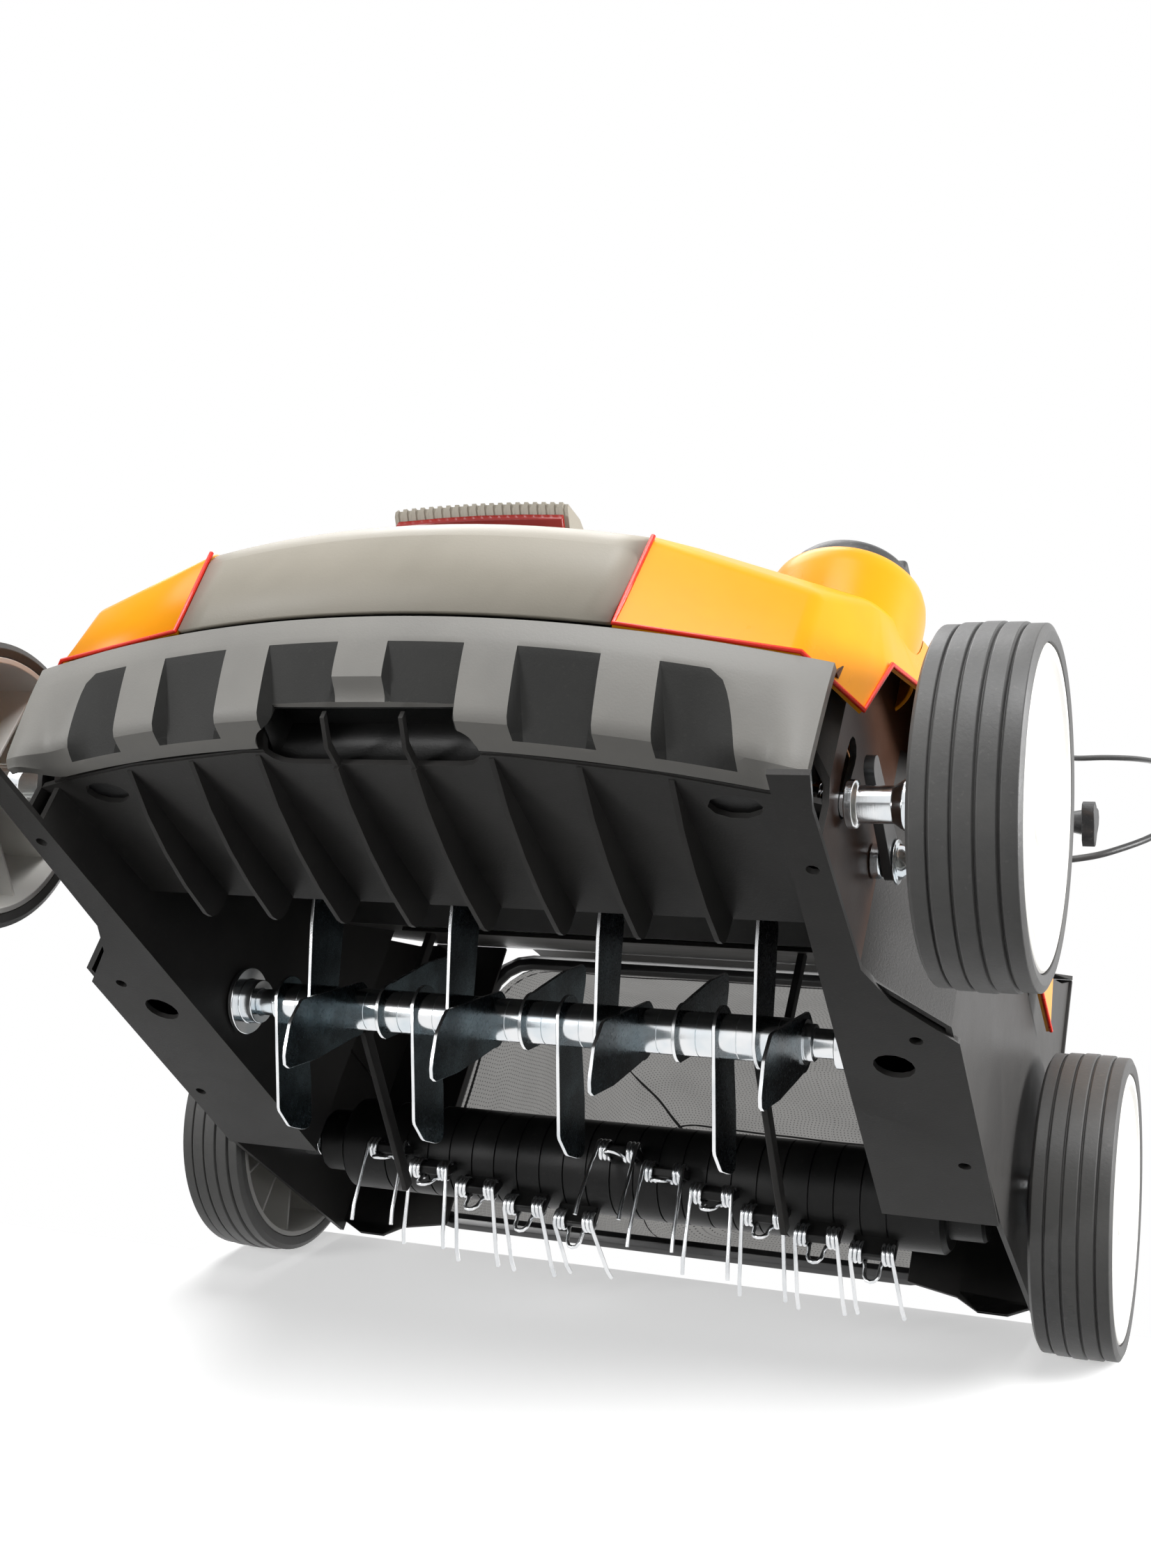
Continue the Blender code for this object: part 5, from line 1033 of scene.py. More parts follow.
# %% Panels, liners, duct and pocket lids
BACK_PANEL = [(0.187, 0.288), (0.187, 0.112), (0.166, 0.098), (0.166, 0.056), (0.198, 0.050), (0.212, 0.0420),
              (0.2308, 0.0420), (0.2478, 0.0500), (0.2478, 0.288)]
SIDE_PANEL = [(0.330, 0.150), (0.481, 0.150), (0.481, 0.286), (0.452, 0.267), (0.400, 0.240), (0.330, 0.205)]
WELL_LINE = [(-0.044, 0.118), (-0.030, 0.138), (-0.014, 0.172), (0.020, 0.196), (0.060, 0.212),
             (0.168, 0.236), (0.168, 0.165), (0.090, 0.165), (0.036, 0.160), (0.006, 0.135), (-0.020, 0.118)]
ACROSS = Matrix(((0, 1, 0, 0), (1, 0, 0, AXLE_Y), (0, 0, 1, 0), (0, 0, 0, 1)))
for side, sign in SIDES:
    back_outline = [(sign * x, z) for x, z in BACK_PANEL]
    plate("back_panel_" + side, back_outline, 0.4814, 0.4844, ACROSS, DECK, "chassis", "deck", 0.0005)
    # The liner beside the front wheel takes the well finish, a painted reflection of the orange cover.
    for name, outline, inner, outer, look in (("well_liner_", WELL_LINE, 0.2100, 0.2117, WELL_PAINTED_REFLECTION),
                                              ("side_panel_", SIDE_PANEL, 0.2440, 0.2458, DECK)):
        low, high = sorted((sign * inner, sign * outer))
        plate(name + side, outline, low, high, FROM_AXLE, look, "chassis", "deck", 0.0004)
    bm = bmesh.new()
    oval = [(sign * 0.169 + 0.0142 * math.cos(turn), -0.014 + 0.0097 * math.sin(turn))
            for turn in (2 * math.pi * k / 40 for k in range(40))]
    lift(bm, [bm.faces.new([bm.verts.new(at(x, y, 0.0694)) for x, y in oval])], (0, 0, 0.0010))
    built("pocket_lid_" + side, bm, PACK, "chassis", "deck")
bm = bmesh.new()
duct = [[bm.verts.new(at(x, y, z)) for x in (-0.0570, 0.0570)]
        for y, z in ((-0.0678, 0.0782), (-0.0745, 0.0930), (-0.0385, 0.0930), (-0.0385, 0.0694))]
for low_pair, high_pair in zip(duct, duct[1:]):
    bm.faces.new((low_pair[0], low_pair[1], high_pair[1], high_pair[0]))
for end in (0, 1):
    bm.faces.new([pair[end] for pair in duct])
thicken(built("intake_duct", bm, PACK, "chassis", "deck"), 0.0012)

# %% [markdown]
# ## Covers
#
# The grey hood, the battery lid, the rear cover and the two orange sides share one surface,
# drawn at stations from the nose to the rear. A station gives the middle of the machine, the
# seam between grey and orange, and the shoulder where orange turns down to the side. The same
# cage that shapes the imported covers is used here. A wide bevel then rounds each fold, and
# Solidify gives the shell its wall.

# %% Stations of the covers
STATIONS = [
    ((0.0, -0.0880, 0.1190), (0.1154, -0.0774, 0.1190), (0.1977, -0.0567, 0.1190)),
    ((0.0, -0.0860, 0.1790), (0.1200, -0.0740, 0.1760), (0.1980, -0.0510, 0.1600)),
    ((0.0, -0.0300, 0.2260), (0.1230, -0.0220, 0.2180), (0.2120, -0.0160, 0.1870)),
    ((0.0, 0.0600, 0.2850), (0.1250, 0.0600, 0.2620), (0.2240, 0.0400, 0.2130)),
    ((0.0, 0.2000, 0.3250), (0.1280, 0.2000, 0.3080), (0.2400, 0.1800, 0.2580)),
    ((0.0, 0.3550, 0.3350), (0.1300, 0.3550, 0.3180), (0.2500, 0.3550, 0.3050)),
    ((0.0, 0.4700, 0.3250), (0.1300, 0.4700, 0.3120), None),
    ((0.0, 0.4780, 0.2975), (0.1300, 0.4780, 0.2975), None),
]
LOWER_EDGE = [(0.1977, -0.0567, 0.1190), (0.2225, -0.0300, 0.1080), (0.2255, -0.0120, 0.1500),
              (0.2325, 0.0300, 0.1690), (0.2530, 0.1800, 0.1780), (0.2570, 0.3550, 0.1740)]
COVER_WALL = 0.0025
SEAM_GAP = 0.0006


def across_row(station):
    """Points across the grey part at one station, as a shallow arch."""
    centre, seam = Vector(station[0]), Vector(station[1])
    row = []
    for step in range(-8, 9):
        share = step / 8
        bend = centre + (seam - centre) * share * share
        row.append(Vector(((seam.x - SEAM_GAP) * share, bend.y, bend.z)))
    return row


def facing_up(name, bm):
    """The mesh of an open sheet, with its faces turned so that they look up."""
    bmesh.ops.recalc_face_normals(bm, faces=bm.faces)
    if sum(face.normal.z * face.calc_area() for face in bm.faces) < 0:
        bmesh.ops.reverse_faces(bm, faces=bm.faces)
    return plain_mesh(name, bm)


def shell(name, stations, body, stands_for, fold):
    """A grey cover through its stations, rounded at its folds and as thick as its wall."""
    bm = bmesh.new()
    grid = [[bm.verts.new(at(*point)) for point in across_row(station)] for station in stations]
    for low, high in zip(grid, grid[1:]):
        for j in range(len(low) - 1):
            bm.faces.new((low[j], low[j + 1], high[j + 1], high[j]))
    bmesh.ops.remove_doubles(bm, verts=bm.verts, dist=WELD)
    made = soften(settle(name, facing_up(name, bm), HOOD, body, "hood", [stands_for], 30), fold, 5, 7)
    thicken(made, COVER_WALL, even=True)
    return made


def shifted(station, dy):
    return tuple(None if point is None else (point[0], point[1] + dy, point[2]) for point in station)


# %% Grey covers
hood_foot = tuple((x, y, z + 0.0012) for x, y, z in STATIONS[0])
hood = shell("hood", (hood_foot, STATIONS[1], shifted(STATIONS[2], -0.0006)), "chassis", "hood_cover", 0.0085)
lid = shell("lid_shell", (*STATIONS[2:4], shifted(STATIONS[4], -0.0004)), "lid", "battery_lid", 0.0120)
rear = shell("rear_shell", (shifted(STATIONS[4], 0.0004), *STATIONS[5:]), "chassis", "rear_cover", 0.0080)
print("grey covers:", hood.name, lid.name, rear.name)

# %% [markdown]
# ### Grip of the battery lid
#
# A lip stands out from the front of the lid for the fingers. Its upper side is grey and its
# front edge is serrated. Below it is a dark red finger rail. Each is one section drawn out to
# both sides, and the lip's serration comes from carrying its section forward and back in steps.

# %% Grip lip
LIP_HALF = 0.0500
LIP_SAG = -0.0022
TEETH = 41
TOOTH = 0.0014


def drawn_across(bm, section, columns):
    """A section of (y, z) points carried along columns of (x, dy, dz) shifts, with closed ends."""
    rings = [[bm.verts.new(at(x, y + dy, z + dz)) for y, z in section] for x, dy, dz in columns]
    for left, right in zip(rings, rings[1:]):
        for j in range(len(section)):
            k = (j + 1) % len(section)
            bm.faces.new((left[j], left[k], right[k], right[j]))
    bm.faces.new(rings[0])
    bm.faces.new(rings[-1])


lip_section = [(-0.0272, 0.2262), (-0.0280, 0.2300), (-0.0388, 0.2376), (-0.0398, 0.2400), (-0.0240, 0.2450),
               (-0.0050, 0.2440), (-0.0050, 0.2405)]
teeth = []
for index in range(TEETH):
    x = LIP_HALF * (index / 20 - 1)
    out = 0.0 if index % 2 else TOOTH
    sag = LIP_SAG * (x / LIP_HALF) ** 2
    teeth.append((x, out, sag))
    if 0 < index < TEETH - 1:
        teeth.append((x + 0.0002, TOOTH - out, sag))
bm = bmesh.new()
drawn_across(bm, lip_section, teeth)
lip = built("grip_lip", bm, HOOD, "lid", "hood")
rail_section = [(-0.0364, 0.2318), (-0.0282, 0.2256), (-0.0270, 0.2262), (-0.0275, 0.2302), (-0.0358, 0.2356)]
bm = bmesh.new()
drawn_across(bm, rail_section, [(x * LIP_HALF * 0.96, 0, LIP_SAG * x * x) for x in (-1, -0.5, 0, 0.5, 1)])
rail = soften(built("finger_rail", bm, DARK_RED, "lid", "red"), 0.0008)
print("grip:", lip.name, "and", rail.name)

# %% Lines of the orange sides
seam_line = [Vector(station[1]) for station in STATIONS[:6]]
shoulder_line = [Vector(station[2]) for station in STATIONS[:6]]
seam_line.insert(3, Vector((0.1235, -0.0140, 0.2230)))
shoulder_line.insert(3, Vector((0.2150, -0.0080, 0.1900)))
seam_line = [place + Vector((SEAM_GAP, 0, 0)) for place in seam_line]
LOWER = [Vector(point) for point in LOWER_EDGE]


def side_mesh(sign):
    """The top strip from seam to shoulder, and the side from the shoulder to the lower edge."""
    bm = bmesh.new()

    def point(place):
        return bm.verts.new(at(sign * place.x, place.y, place.z))

    seam = [point(place) for place in seam_line]
    shoulder = [point(place) for place in shoulder_line]
    lower = [shoulder[0]] + [point(place) for place in LOWER[1:]]
    for i in range(len(seam) - 1):
        bm.faces.new((seam[i], shoulder[i], shoulder[i + 1], seam[i + 1]))
    below = shoulder[1:]
    for i in range(len(lower) - 1):
        corners = [lower[i], lower[i + 1], below[i + 1], below[i]]
        bm.faces.new([corner for n, corner in enumerate(corners) if corner not in corners[:n]])
    return facing_up("side", bm)


# %% Orange sides
TURRET = at(0.185, 0.026, 0)
TURRET_RADIUS = 0.0405
TURRET_TOP = 0.2285


def turret_hole():
    radius = TURRET_RADIUS + 0.0004
    bm = bmesh.new()
    spin_into(bm, [(0, 0.30), (radius, 0.30), (radius, 0.10), (0, 0.10)], "Z", TURRET, 64)
    return add_object("turret_tool", to_mesh("turret_tool", bm))


for side, sign in SIDES:
    made = settle("side_" + side, side_mesh(sign), ORANGE, "chassis", "orange", ["side_cover_" + side], 30)
    soften(made, 0.0050, 4, 7)
    thicken(made, COVER_WALL)
    if side == "right":
        solid = final_mesh(made)
        made.modifiers.clear()
        made.data = cut_with(solid, turret_hole())
        made.data.shade_smooth()
        made.data.set_sharp_from_angle(angle=math.radians(30))
    # A thin red wire runs along the front of the seam and the lower edge of each orange side.
    front = [seam_line[1].lerp(seam_line[0], share / 4) for share in range(5)]
    red_edge_line = [at(sign * (place.x + 0.0004), place.y, place.z + 0.0004) for place in front + LOWER]
    edge = wire("red_edge_" + side, [red_edge_line], 0.0012, 3, RED_EDGE, "chassis", "orange")
    print(made.name, len(made.data.polygons), "faces, with", edge.name)

# %% [markdown]
# ## Depth dial
#
# An orange cup stands out of the right side, with a black dial in it that turns. Light bands on
# the cup come from its shape: it is a smooth turned piece with a rounded rim. The dial has a
# finger bar across its top and fine ribs round its edge.

# %% Cup and dial
FLOOR = TURRET_TOP - 0.0166
DIAL_TOP = TURRET_TOP + 0.0130
DIAL_RIDGES = 48
cup = [(0.0352, TURRET_TOP - 0.0006), (0.0368, TURRET_TOP), (0.0385, TURRET_TOP - 0.0020),
       (0.0398, TURRET_TOP - 0.0060), (TURRET_RADIUS, TURRET_TOP - 0.0120), (TURRET_RADIUS, 0.1790),
       (TURRET_RADIUS - 0.002, 0.1790), (TURRET_RADIUS - 0.002, TURRET_TOP - 0.0200),
       (0.0070, TURRET_TOP - 0.0200), (0.0070, TURRET_TOP - 0.0170), (0.0340, TURRET_TOP - 0.0170),
       (0.0338, TURRET_TOP - 0.0030)]
turned("dial_cup", cup, "Z", TURRET, ORANGE, "chassis", "orange", ["turret_cup"], FINE_STEPS)
bm = bmesh.new()
knob_profile = [(0, DIAL_TOP), (0.0200, DIAL_TOP), (0.0265, DIAL_TOP - 0.0004), (0.0300, DIAL_TOP - 0.0018),
                (0.0322, DIAL_TOP - 0.0050), (0.0325, DIAL_TOP - 0.0080), (0.0325, FLOOR), (0, FLOOR)]
spin_into(bm, knob_profile, "Z", TURRET)
middle = Matrix.Translation(TURRET + Vector((0, 0, FLOOR + 0.0100)))
on_edge = Matrix.Translation((0.0324, 0, 0)) @ Matrix.Rotation(math.radians(45), 4, "Z")
for index in range(DIAL_RIDGES):
    turn = Matrix.Rotation(2 * math.pi * index / DIAL_RIDGES, 4, "Z")
    block_into(bm, (0.0010, 0.0010, 0.0190), middle @ turn @ on_edge)
dial = built("dial", bm, KNOB, "depth_dial", "knob", ["depth_knob"])
bm = bmesh.new()
block_into(bm, (0.0580, 0.0160, 0.0100), Matrix.Translation(TURRET + Vector((0, 0, DIAL_TOP + 0.0005))))
soften(built("finger_bar", bm, KNOB, "depth_dial", "knob"), 0.0024, 4)
print("dial:", len(dial.data.polygons), "faces; its top is at", round(DIAL_TOP, 4))

# %% [markdown]
# ## Grass bag
#
# The bag is woven mesh cloth hung on a steel frame, with a hem sewn round its mouth. It is lofted
# from a few sections, like the ribs of a boat. Between the seams the cloth sags on top, bellies
# out a little below and pulls in at the sides. The weave needs coordinates that run along the
# cloth, so the loft stores them in metres while it is made.

# %% Bag sections
BAG_SECTIONS = [  # Y, half width, low and high
    (0.4998, 0.1950, 0.0640, 0.2830), (0.560, 0.1900, 0.0900, 0.3120), (0.640, 0.1900, 0.1220, 0.3420),
    (0.740, 0.1850, 0.1640, 0.3480), (0.830, 0.1740, 0.2020, 0.3360), (0.878, 0.1540, 0.2240, 0.3140),
    (0.892, 0.1200, 0.2400, 0.2980)]
AROUND = 96


def bag_ring(half, low, high):
    """Rounded rectangle of one section, with a point about every 11 mm."""
    corner = min(0.040, (high - low) / 2 - 0.004)
    centres = [(half - corner, high - corner, 0), (corner - half, high - corner, 90),
               (corner - half, low + corner, 180), (half - corner, low + corner, 270)]
    ring = []
    for x, z, start in centres:
        ring += arc((x, z), corner, start, start + 90, 11)
    fine = []
    for (x0, z0), (x1, z1) in zip(ring, ring[1:] + ring[:1]):
        count = max(1, round(math.dist((x0, z0), (x1, z1)) / 0.0110))
        fine += [(x0 + (x1 - x0) * k / count, z0 + (z1 - z0) * k / count) for k in range(count)]
    return fine


def even_ring(points):
    """The same closed line with evenly spaced points, starting at the middle of the top."""
    start = max(range(len(points)), key=lambda k: (round(points[k][1], 5), -abs(points[k][0])))
    line = points[start:] + points[:start + 1]
    lengths = [0.0]
    for first, second in zip(line, line[1:]):
        lengths.append(lengths[-1] + math.dist(first, second))
    even = []
    index = 0
    for step in range(AROUND):
        want = lengths[-1] * step / AROUND
        while lengths[index + 1] < want:
            index += 1
        share = (want - lengths[index]) / max(1e-9, lengths[index + 1] - lengths[index])
        (x0, z0), (x1, z1) = line[index], line[index + 1]
        even.append((x0 + (x1 - x0) * share, z0 + (z1 - z0) * share))
    return even, lengths[-1]


# %% Loft of the bag
HEM_RINGS = (1, 34)
PIPING_AT = (17, AROUND - 17)
SMOOTH_PASSES = 6


def sag(x, y, z, half, low, high, along):
    """How the cloth moves from its frame's shape at one point."""
    slack = math.sin(math.pi * min(1.0, along * 1.15)) ** 0.8 if along < 0.87 else 0.0
    side = max(0.0, 1 - abs(z - (low + high) / 2) / ((high - low) / 2)) * ease(abs(x) / half, 0.86, 0.99)
    top = ease(z, high - 0.012, high - 0.002) * (1 - (x / half) ** 2)
    bottom = ease(-z, -low - 0.012, -low - 0.002) * (1 - (x / half) ** 2)
    ripple = noise.noise(Vector((x * 9, y * 11, z * 9))) * 0.0018
    ripple += noise.noise(Vector((x * 26, y * 9, z * 26))) * 0.0010
    inward = -math.copysign(0.0060 * side * slack, x)
    return Vector((inward + ripple * ease(abs(x) / half, 0.8, 1.0), 0,
                   -0.0090 * top * slack - 0.0040 * bottom * slack + ripple * (top + bottom)))


def smoothed(line):
    """A line with its kinks worn down, between ends that stay."""
    for _ in range(SMOOTH_PASSES):
        threes = zip(line, line[1:], line[2:])
        line[1:-1] = [(before + 2 * here + after) / 4 for before, here, after in threes]
    return line


def bag_mesh():
    line = smooth_line([Vector(section[1:]) for section in BAG_SECTIONS], 8)
    spots = [spot.x for spot in smooth_line([Vector((section[0], 0, 0)) for section in BAG_SECTIONS], 8)]
    bm = bmesh.new()
    cloth = bm.loops.layers.uv.new("cloth")
    rings = []
    run = 0.0
    for index, (size, spot) in enumerate(zip(line, spots)):
        along = index / (len(line) - 1)
        points, girth = even_ring(bag_ring(*size))
        if index:
            run += math.dist((spots[index - 1], line[index - 1].z), (spot, size.z))
        row = [bm.verts.new(at(x, spot, z) + sag(x, spot, z, *size, along)) for x, z in points]
        rings.append((row, run, girth))
    last_row, _, last_girth = rings[-1]
    middle = (line[-1].y + line[-1].z) / 2
    for scale, out in ((0.80, 0.0016), (0.55, 0.0026), (0.28, 0.0030)):
        row = [bm.verts.new(at(vertex.co.x * scale, spots[-1] + out, middle + (vertex.co.z - middle) * scale))
               for vertex in last_row]
        rings.append((row, run + 0.03 * (1 - scale) + out, last_girth * scale))
    for (left, start, girth), (right, end, _) in zip(rings, rings[1:]):
        for j in range(AROUND):
            k = (j + 1) % AROUND
            face = bm.faces.new((left[j], left[k], right[k], right[j]))
            for loop, (u, v) in zip(face.loops, ((j, start), (j + 1, start), (j + 1, end), (j, end))):
                loop[cloth].uv = (u / AROUND * girth, v)
    for loop in bm.faces.new(rings[-1][0]).loops:
        loop[cloth].uv = (loop.vert.co.x, loop.vert.co.z)
    bmesh.ops.recalc_face_normals(bm, faces=bm.faces)
    seams = [[vertex.co.copy() for vertex in rings[index][0]] for index in HEM_RINGS]
    runs = [smoothed([rings[index][0][j].co.copy() for index in range(1, len(line))]) for j in PIPING_AT]
    return plain_mesh("bag", bm), seams, runs


# %% Bag with its hems and piping
mesh, seams, runs = bag_mesh()
bag = settle("bag", mesh, MESH, "grass_bag", "mesh", ["bag_fabric"], 60)
thicken(bag, 0.0016)
finer = bag.modifiers.new("finer", "SUBSURF")
finer.levels = finer.render_levels = 1
hems = wire("bag_hems", seams, 0.0022, 2, BINDING, "grass_bag", "mesh", closed=True)
piping = wire("bag_piping", runs, 0.0019, 2, BINDING, "grass_bag", "mesh")
girth = even_ring(bag_ring(*BAG_SECTIONS[0][1:]))[1]

# %% [markdown]
# ## Handle
#
# The handle is drawn silver tube in two stages. The lower legs turn on the deck, and the upper
# part is one tube bent twice, with a foam sleeve in the middle and a bail of black wire above
# the switch box. `on_handle` gives points by their distance along the raised handle and
# their height above it, which is how the handle's own sizes are known.

# %% Places on the raised handle
HANDLE_PIVOT = (0.395, 0.269)
LEAN = math.radians(50.0)
LOWER_X = 0.2050
UPPER_X = 0.1820
UPPER_LOW = 0.341
UPPER_TOP_X = 0.1470
UPPER_TOP = 0.780
TUBE_RADIUS = 0.0110


def on_handle(x, along, above=0.0):
    y = HANDLE_PIVOT[0] + along * math.cos(LEAN) - above * math.sin(LEAN)
    z = HANDLE_PIVOT[1] + along * math.sin(LEAN) + above * math.cos(LEAN)
    return at(x, y, z)


# %% Tubes, bail and grip
for side, sign in SIDES:
    leg = [on_handle(sign * LOWER_X, along) for along in (-0.0108, 0.1600, 0.3358)]
    soften(wire("leg_" + side, [leg], TUBE_RADIUS, 12, TUBE, "lower_handle", "tube", ["lower_tube_" + side]),
           0.0018, 4)
right_run = [(UPPER_X, 0.296), (UPPER_X, UPPER_LOW), (UPPER_TOP_X, UPPER_TOP)]
flat_path = [Vector((-x, along, 0)) for x, along in right_run]
flat_path += [Vector((x, along, 0)) for x, along in right_run[::-1]]
flat_path = [flat_path[0]] + rounded_line(flat_path[1:-1], 0.035, 14) + [flat_path[-1]]
hoop_line = [on_handle(place.x, place.y) for place in flat_path]
hoop = wire("hoop", [hoop_line], TUBE_RADIUS, 12, TUBE, "upper_handle", "tube", ["upper_tube"])
soften(hoop, 0.0018, 4)
half = [(0.034, 0.725, 0.006), (0.060, 0.725, 0.006), (0.090, 0.735, 0.024), (0.100, 0.770, 0.050),
        (0.085, 0.780, 0.055)]
whole = half + [(-x, along, above) for x, along, above in half[::-1]]
bail_line = [on_handle(*point) for point in rounded_line(whole, 0.010, 8)]
wire("bail_wire", [bail_line], 0.0035, 6, DARK_STEEL, "bail", "dark_steel", ["bail_lever"])
GRIP = 0.0155
grip_end = [(TUBE_RADIUS + 0.0002, 0.1100), (GRIP - 0.0012, 0.1100), (GRIP, 0.1085)]
foam = grip_end + [(GRIP + 0.0002 * math.sin(k * 1.9), 0.100 - 0.0100 * k) for k in range(21)]
foam += [(radius, -height) for radius, height in grip_end[::-1]]
grip = turned("grip_foam", foam, "X", on_handle(0, UPPER_TOP), FOAM, "upper_handle", "foam",
              ["handle_grip"], 72)
print("handle:", hoop.name, "with", len(bail_line), "points in the bail and a foam grip")

# %% [markdown]
# ## Power cable
#
# One black cable runs from the switch box down the right leg. A clip holds it, and from there it
# swings out in a wide arc round the joint and goes back into the lower leg. It is modelled as
# one tube along one smooth line, drawn for the raised handle. The handle folds below the clip;
# the cable runs beside the upper part above the joint and beside the lower part below it, bends
# between them, and hangs on no body.

# %% Cable line
CABLE_RADIUS = 0.0026


def beside_tube(along, out=0.0, above=0.0):
    """A point of the cable beside the upper tube, at a distance along the handle."""
    x = UPPER_X - (UPPER_X - UPPER_TOP_X) * (along - UPPER_LOW) / (UPPER_TOP - UPPER_LOW) + 0.0146
    return (x + out, along, above)


high_part = [(0.0200, 0.6942, 0), (0.0240, 0.680, 0), (0.0600, 0.662, -0.012), (0.1000, 0.658, -0.018),
             (0.1400, 0.648, -0.019), beside_tube(0.630, -0.0026, -0.016), beside_tube(0.610, 0, -0.003),
             beside_tube(0.598), beside_tube(0.580)]
low_part = [beside_tube(0.5715), (0.1900, 0.560, 0.001), (0.2180, 0.550, 0.004), (0.2500, 0.525, 0.008),
            (0.2760, 0.480, 0.012), (0.2960, 0.400, 0.014), (0.3020, 0.320, 0.012), (0.2900, 0.250, 0.008),
            (0.2600, 0.205, 0.004), (0.2360, 0.192, 0.001), (0.2170, 0.189, 0)]
cable_line = smooth_line([on_handle(*point) for point in high_part + low_part], 6)
cable = wire("power_cable", [cable_line], CABLE_RADIUS, 5, CABLE, None, "cable",
             ["cable_upper", "cable_loop"], 60)

# %% [markdown]
# ## Carried pieces
#
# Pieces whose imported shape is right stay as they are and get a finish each. Their meshes may not
# change, so the fine work is left to modifiers: Weld joins the corners that the file
# format had split, Bevel rounds the sharp edges, and Weighted Normal keeps the flat faces flat.

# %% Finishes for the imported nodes
FINISHES = {
    "deck_housing": DECK, "battery_bay": DECK, "stripper_guard": DECK, "depth_nut": PACK, "switch_box": KNOB,
    "lock_button": RED, "battery_release": RED, "battery_pack": PACK, "rear_flap": DECK, "cable_clip": KNOB,
    "motor_bracket": ZINC, "drive_motor": MOTOR, "motor_pulley": ZINC, "shaft_pulley": ZINC,
    "drive_belt": BELT, "crank_frame": ZINC, "depth_spindle": ZINC, "flap_rod": ZINC,
    "bag_frame": DARK_STEEL, "bag_handle": KNOB,
    "base_knob_left": KNOB, "base_knob_right": KNOB, "fold_knob_left": KNOB, "fold_knob_right": KNOB,
}


def dress(made, look):
    mesh = made.data
    mesh.materials.clear()
    mesh.materials.append(look)
    if "custom_normal" in mesh.attributes:
        mesh.attributes.remove(mesh.attributes["custom_normal"])
    mesh.shade_smooth()
    made.modifiers.new("join", "WELD").merge_threshold = 0.00001
    soften(made, 0.0006, 2, 40)
    made.modifiers.new("even", "WEIGHTED_NORMAL").keep_sharp = True


for node, look in FINISHES.items():
    dress(NODES[node], look)
deck = NODES["deck_housing"].data
deck.materials.append(WELL_PAINTED_REFLECTION)
# The deck's wall beside the front wheel also takes the well finish, the same painted reflection of the orange
# cover.
for face in deck.polygons:
    beside_wheel = abs(face.normal.x) > 0.9 and 0.2105 < abs(face.center.x) < 0.2135
    face.material_index = 1 if beside_wheel and face.center.y < AXLE_Y + 0.10 else 0
shown = [name for name in NODES if name not in FINISHES and not NODES[name].hide_render]
print("carried nodes dressed:", len(FINISHES), "- left over:", shown)

# %% [markdown]
# ## Floor
#
# The photograph was taken with the machine tipped back on a pale table, so the table lies at a
# slant under the rear wheels. Two sheets stand for it: a level one under the machine for most
# views, and a slanted one that catches the soft shadow in the photograph's view. Each shows only
# to the camera and only on its upper side, and it fades into the white room at its rim.

# %% Floor finish
PAPER = 0.86


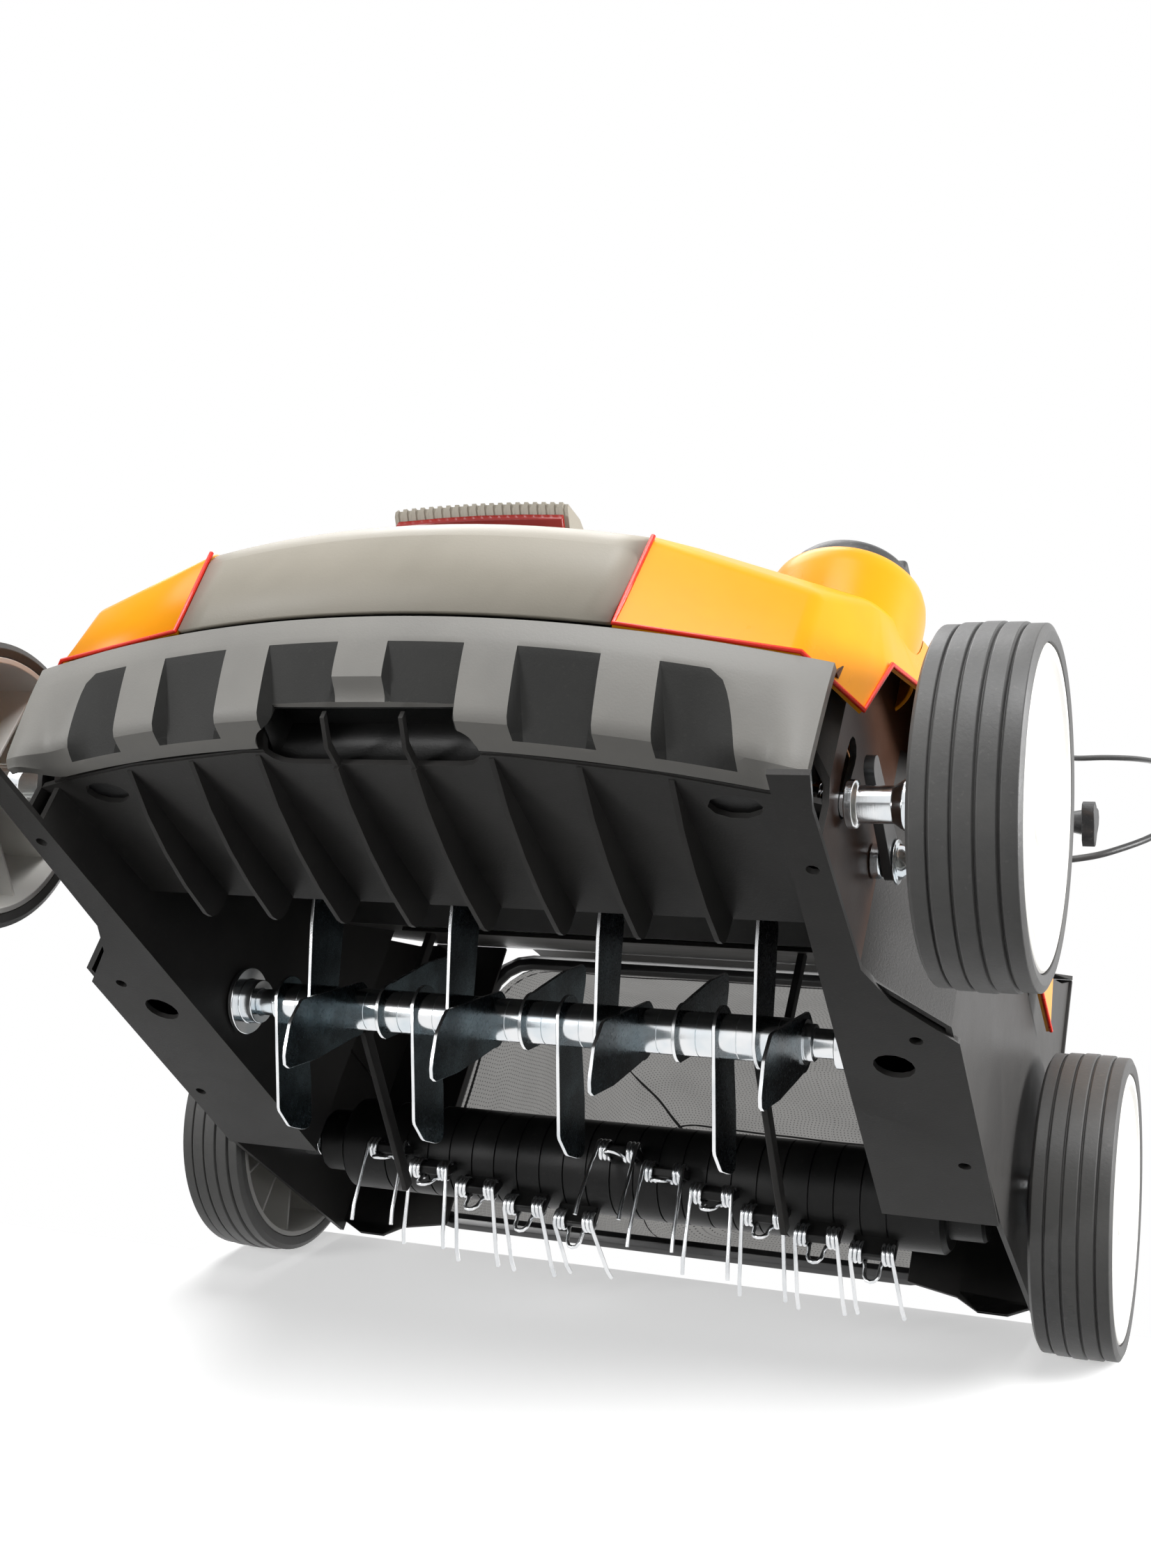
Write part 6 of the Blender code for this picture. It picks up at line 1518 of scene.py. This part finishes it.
def floor_finish(name, reach):
    material = bpy.data.materials.new(name)
    material.use_nodes = True
    tree = material.node_tree
    tree.nodes.clear()
    place = shade(tree, "TexCoord").outputs["Object"]
    spread = shade(tree, "VectorMath", {"operation": "LENGTH"}, _0=place).outputs["Value"]
    rim = shade(tree, "MapRange", {"interpolation_type": "SMOOTHSTEP"}, Value=spread, From_Min=reach * 0.45,
                From_Max=reach, To_Min=1.0, To_Max=0.0).outputs["Result"]
    fine = shade(tree, "TexNoise", Vector=place, Scale=60.0, Detail=3.0).outputs["Fac"]
    speck = (PAPER * 0.98, PAPER * 0.98, PAPER * 0.975, 1)
    colour = blend_colour(tree, fine, (PAPER, PAPER, PAPER, 1), speck)
    pale = shade(tree, "BsdfDiffuse", Color=colour).outputs[0]
    lit = shade(tree, "Emission", Color=(1, 1, 1, 1), Strength=0.48).outputs[0]
    both = shade(tree, "AddShader", _0=pale, _1=lit).outputs[0]
    clear = shade(tree, "BsdfTransparent").outputs[0]
    seen = shade(tree, "LightPath").outputs["Is Camera Ray"]
    front = maths(tree, "SUBTRACT", 1.0, shade(tree, "NewGeometry").outputs["Backfacing"])
    mask = maths(tree, "MULTIPLY", maths(tree, "MULTIPLY", seen, front), rim)
    mix = shade(tree, "MixShader", _0=mask, _1=clear, _2=both).outputs[0]
    shade(tree, "OutputMaterial", Surface=mix)
    return material


# %% Two floors
WIDE = 4.0
TIPPED = math.radians(40.0)
NOTCH_HALF = 0.33
NOTCH_FROM = -0.026 / math.sin(TIPPED)
NOTCH_TO = 0.036


def floor(name, corners, place, tilt, look):
    mesh = bpy.data.meshes.new(name)
    mesh.from_pydata([(x, y, 0) for x, y in corners], [], [tuple(range(len(corners)))])
    mesh.materials.append(look)
    made = add_object(name, mesh)
    made.matrix_world = Matrix.Translation(place) @ Matrix.Rotation(tilt, 4, "X")
    made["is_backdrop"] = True
    return made


level = floor("level_floor", [(-WIDE, -WIDE), (WIDE, -WIDE), (WIDE, WIDE), (-WIDE, WIDE)],
              Vector((0, 0, -0.0004)), 0.0, floor_finish("floor_level", 3.2))
slant_outline = [(-WIDE, -WIDE), (WIDE, -WIDE), (WIDE, NOTCH_FROM), (NOTCH_HALF, NOTCH_FROM),
                 (NOTCH_HALF, NOTCH_TO), (-NOTCH_HALF, NOTCH_TO), (-NOTCH_HALF, NOTCH_FROM),
                 (-WIDE, NOTCH_FROM)]
slant = floor("slant_floor", slant_outline, at(0, 0.468, 0.0209), TIPPED, floor_finish("floor_slant", 1.6))
print("floors:", level.name, slant.name)

# %% Sizes and the end
low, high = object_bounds()
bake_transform(cable)
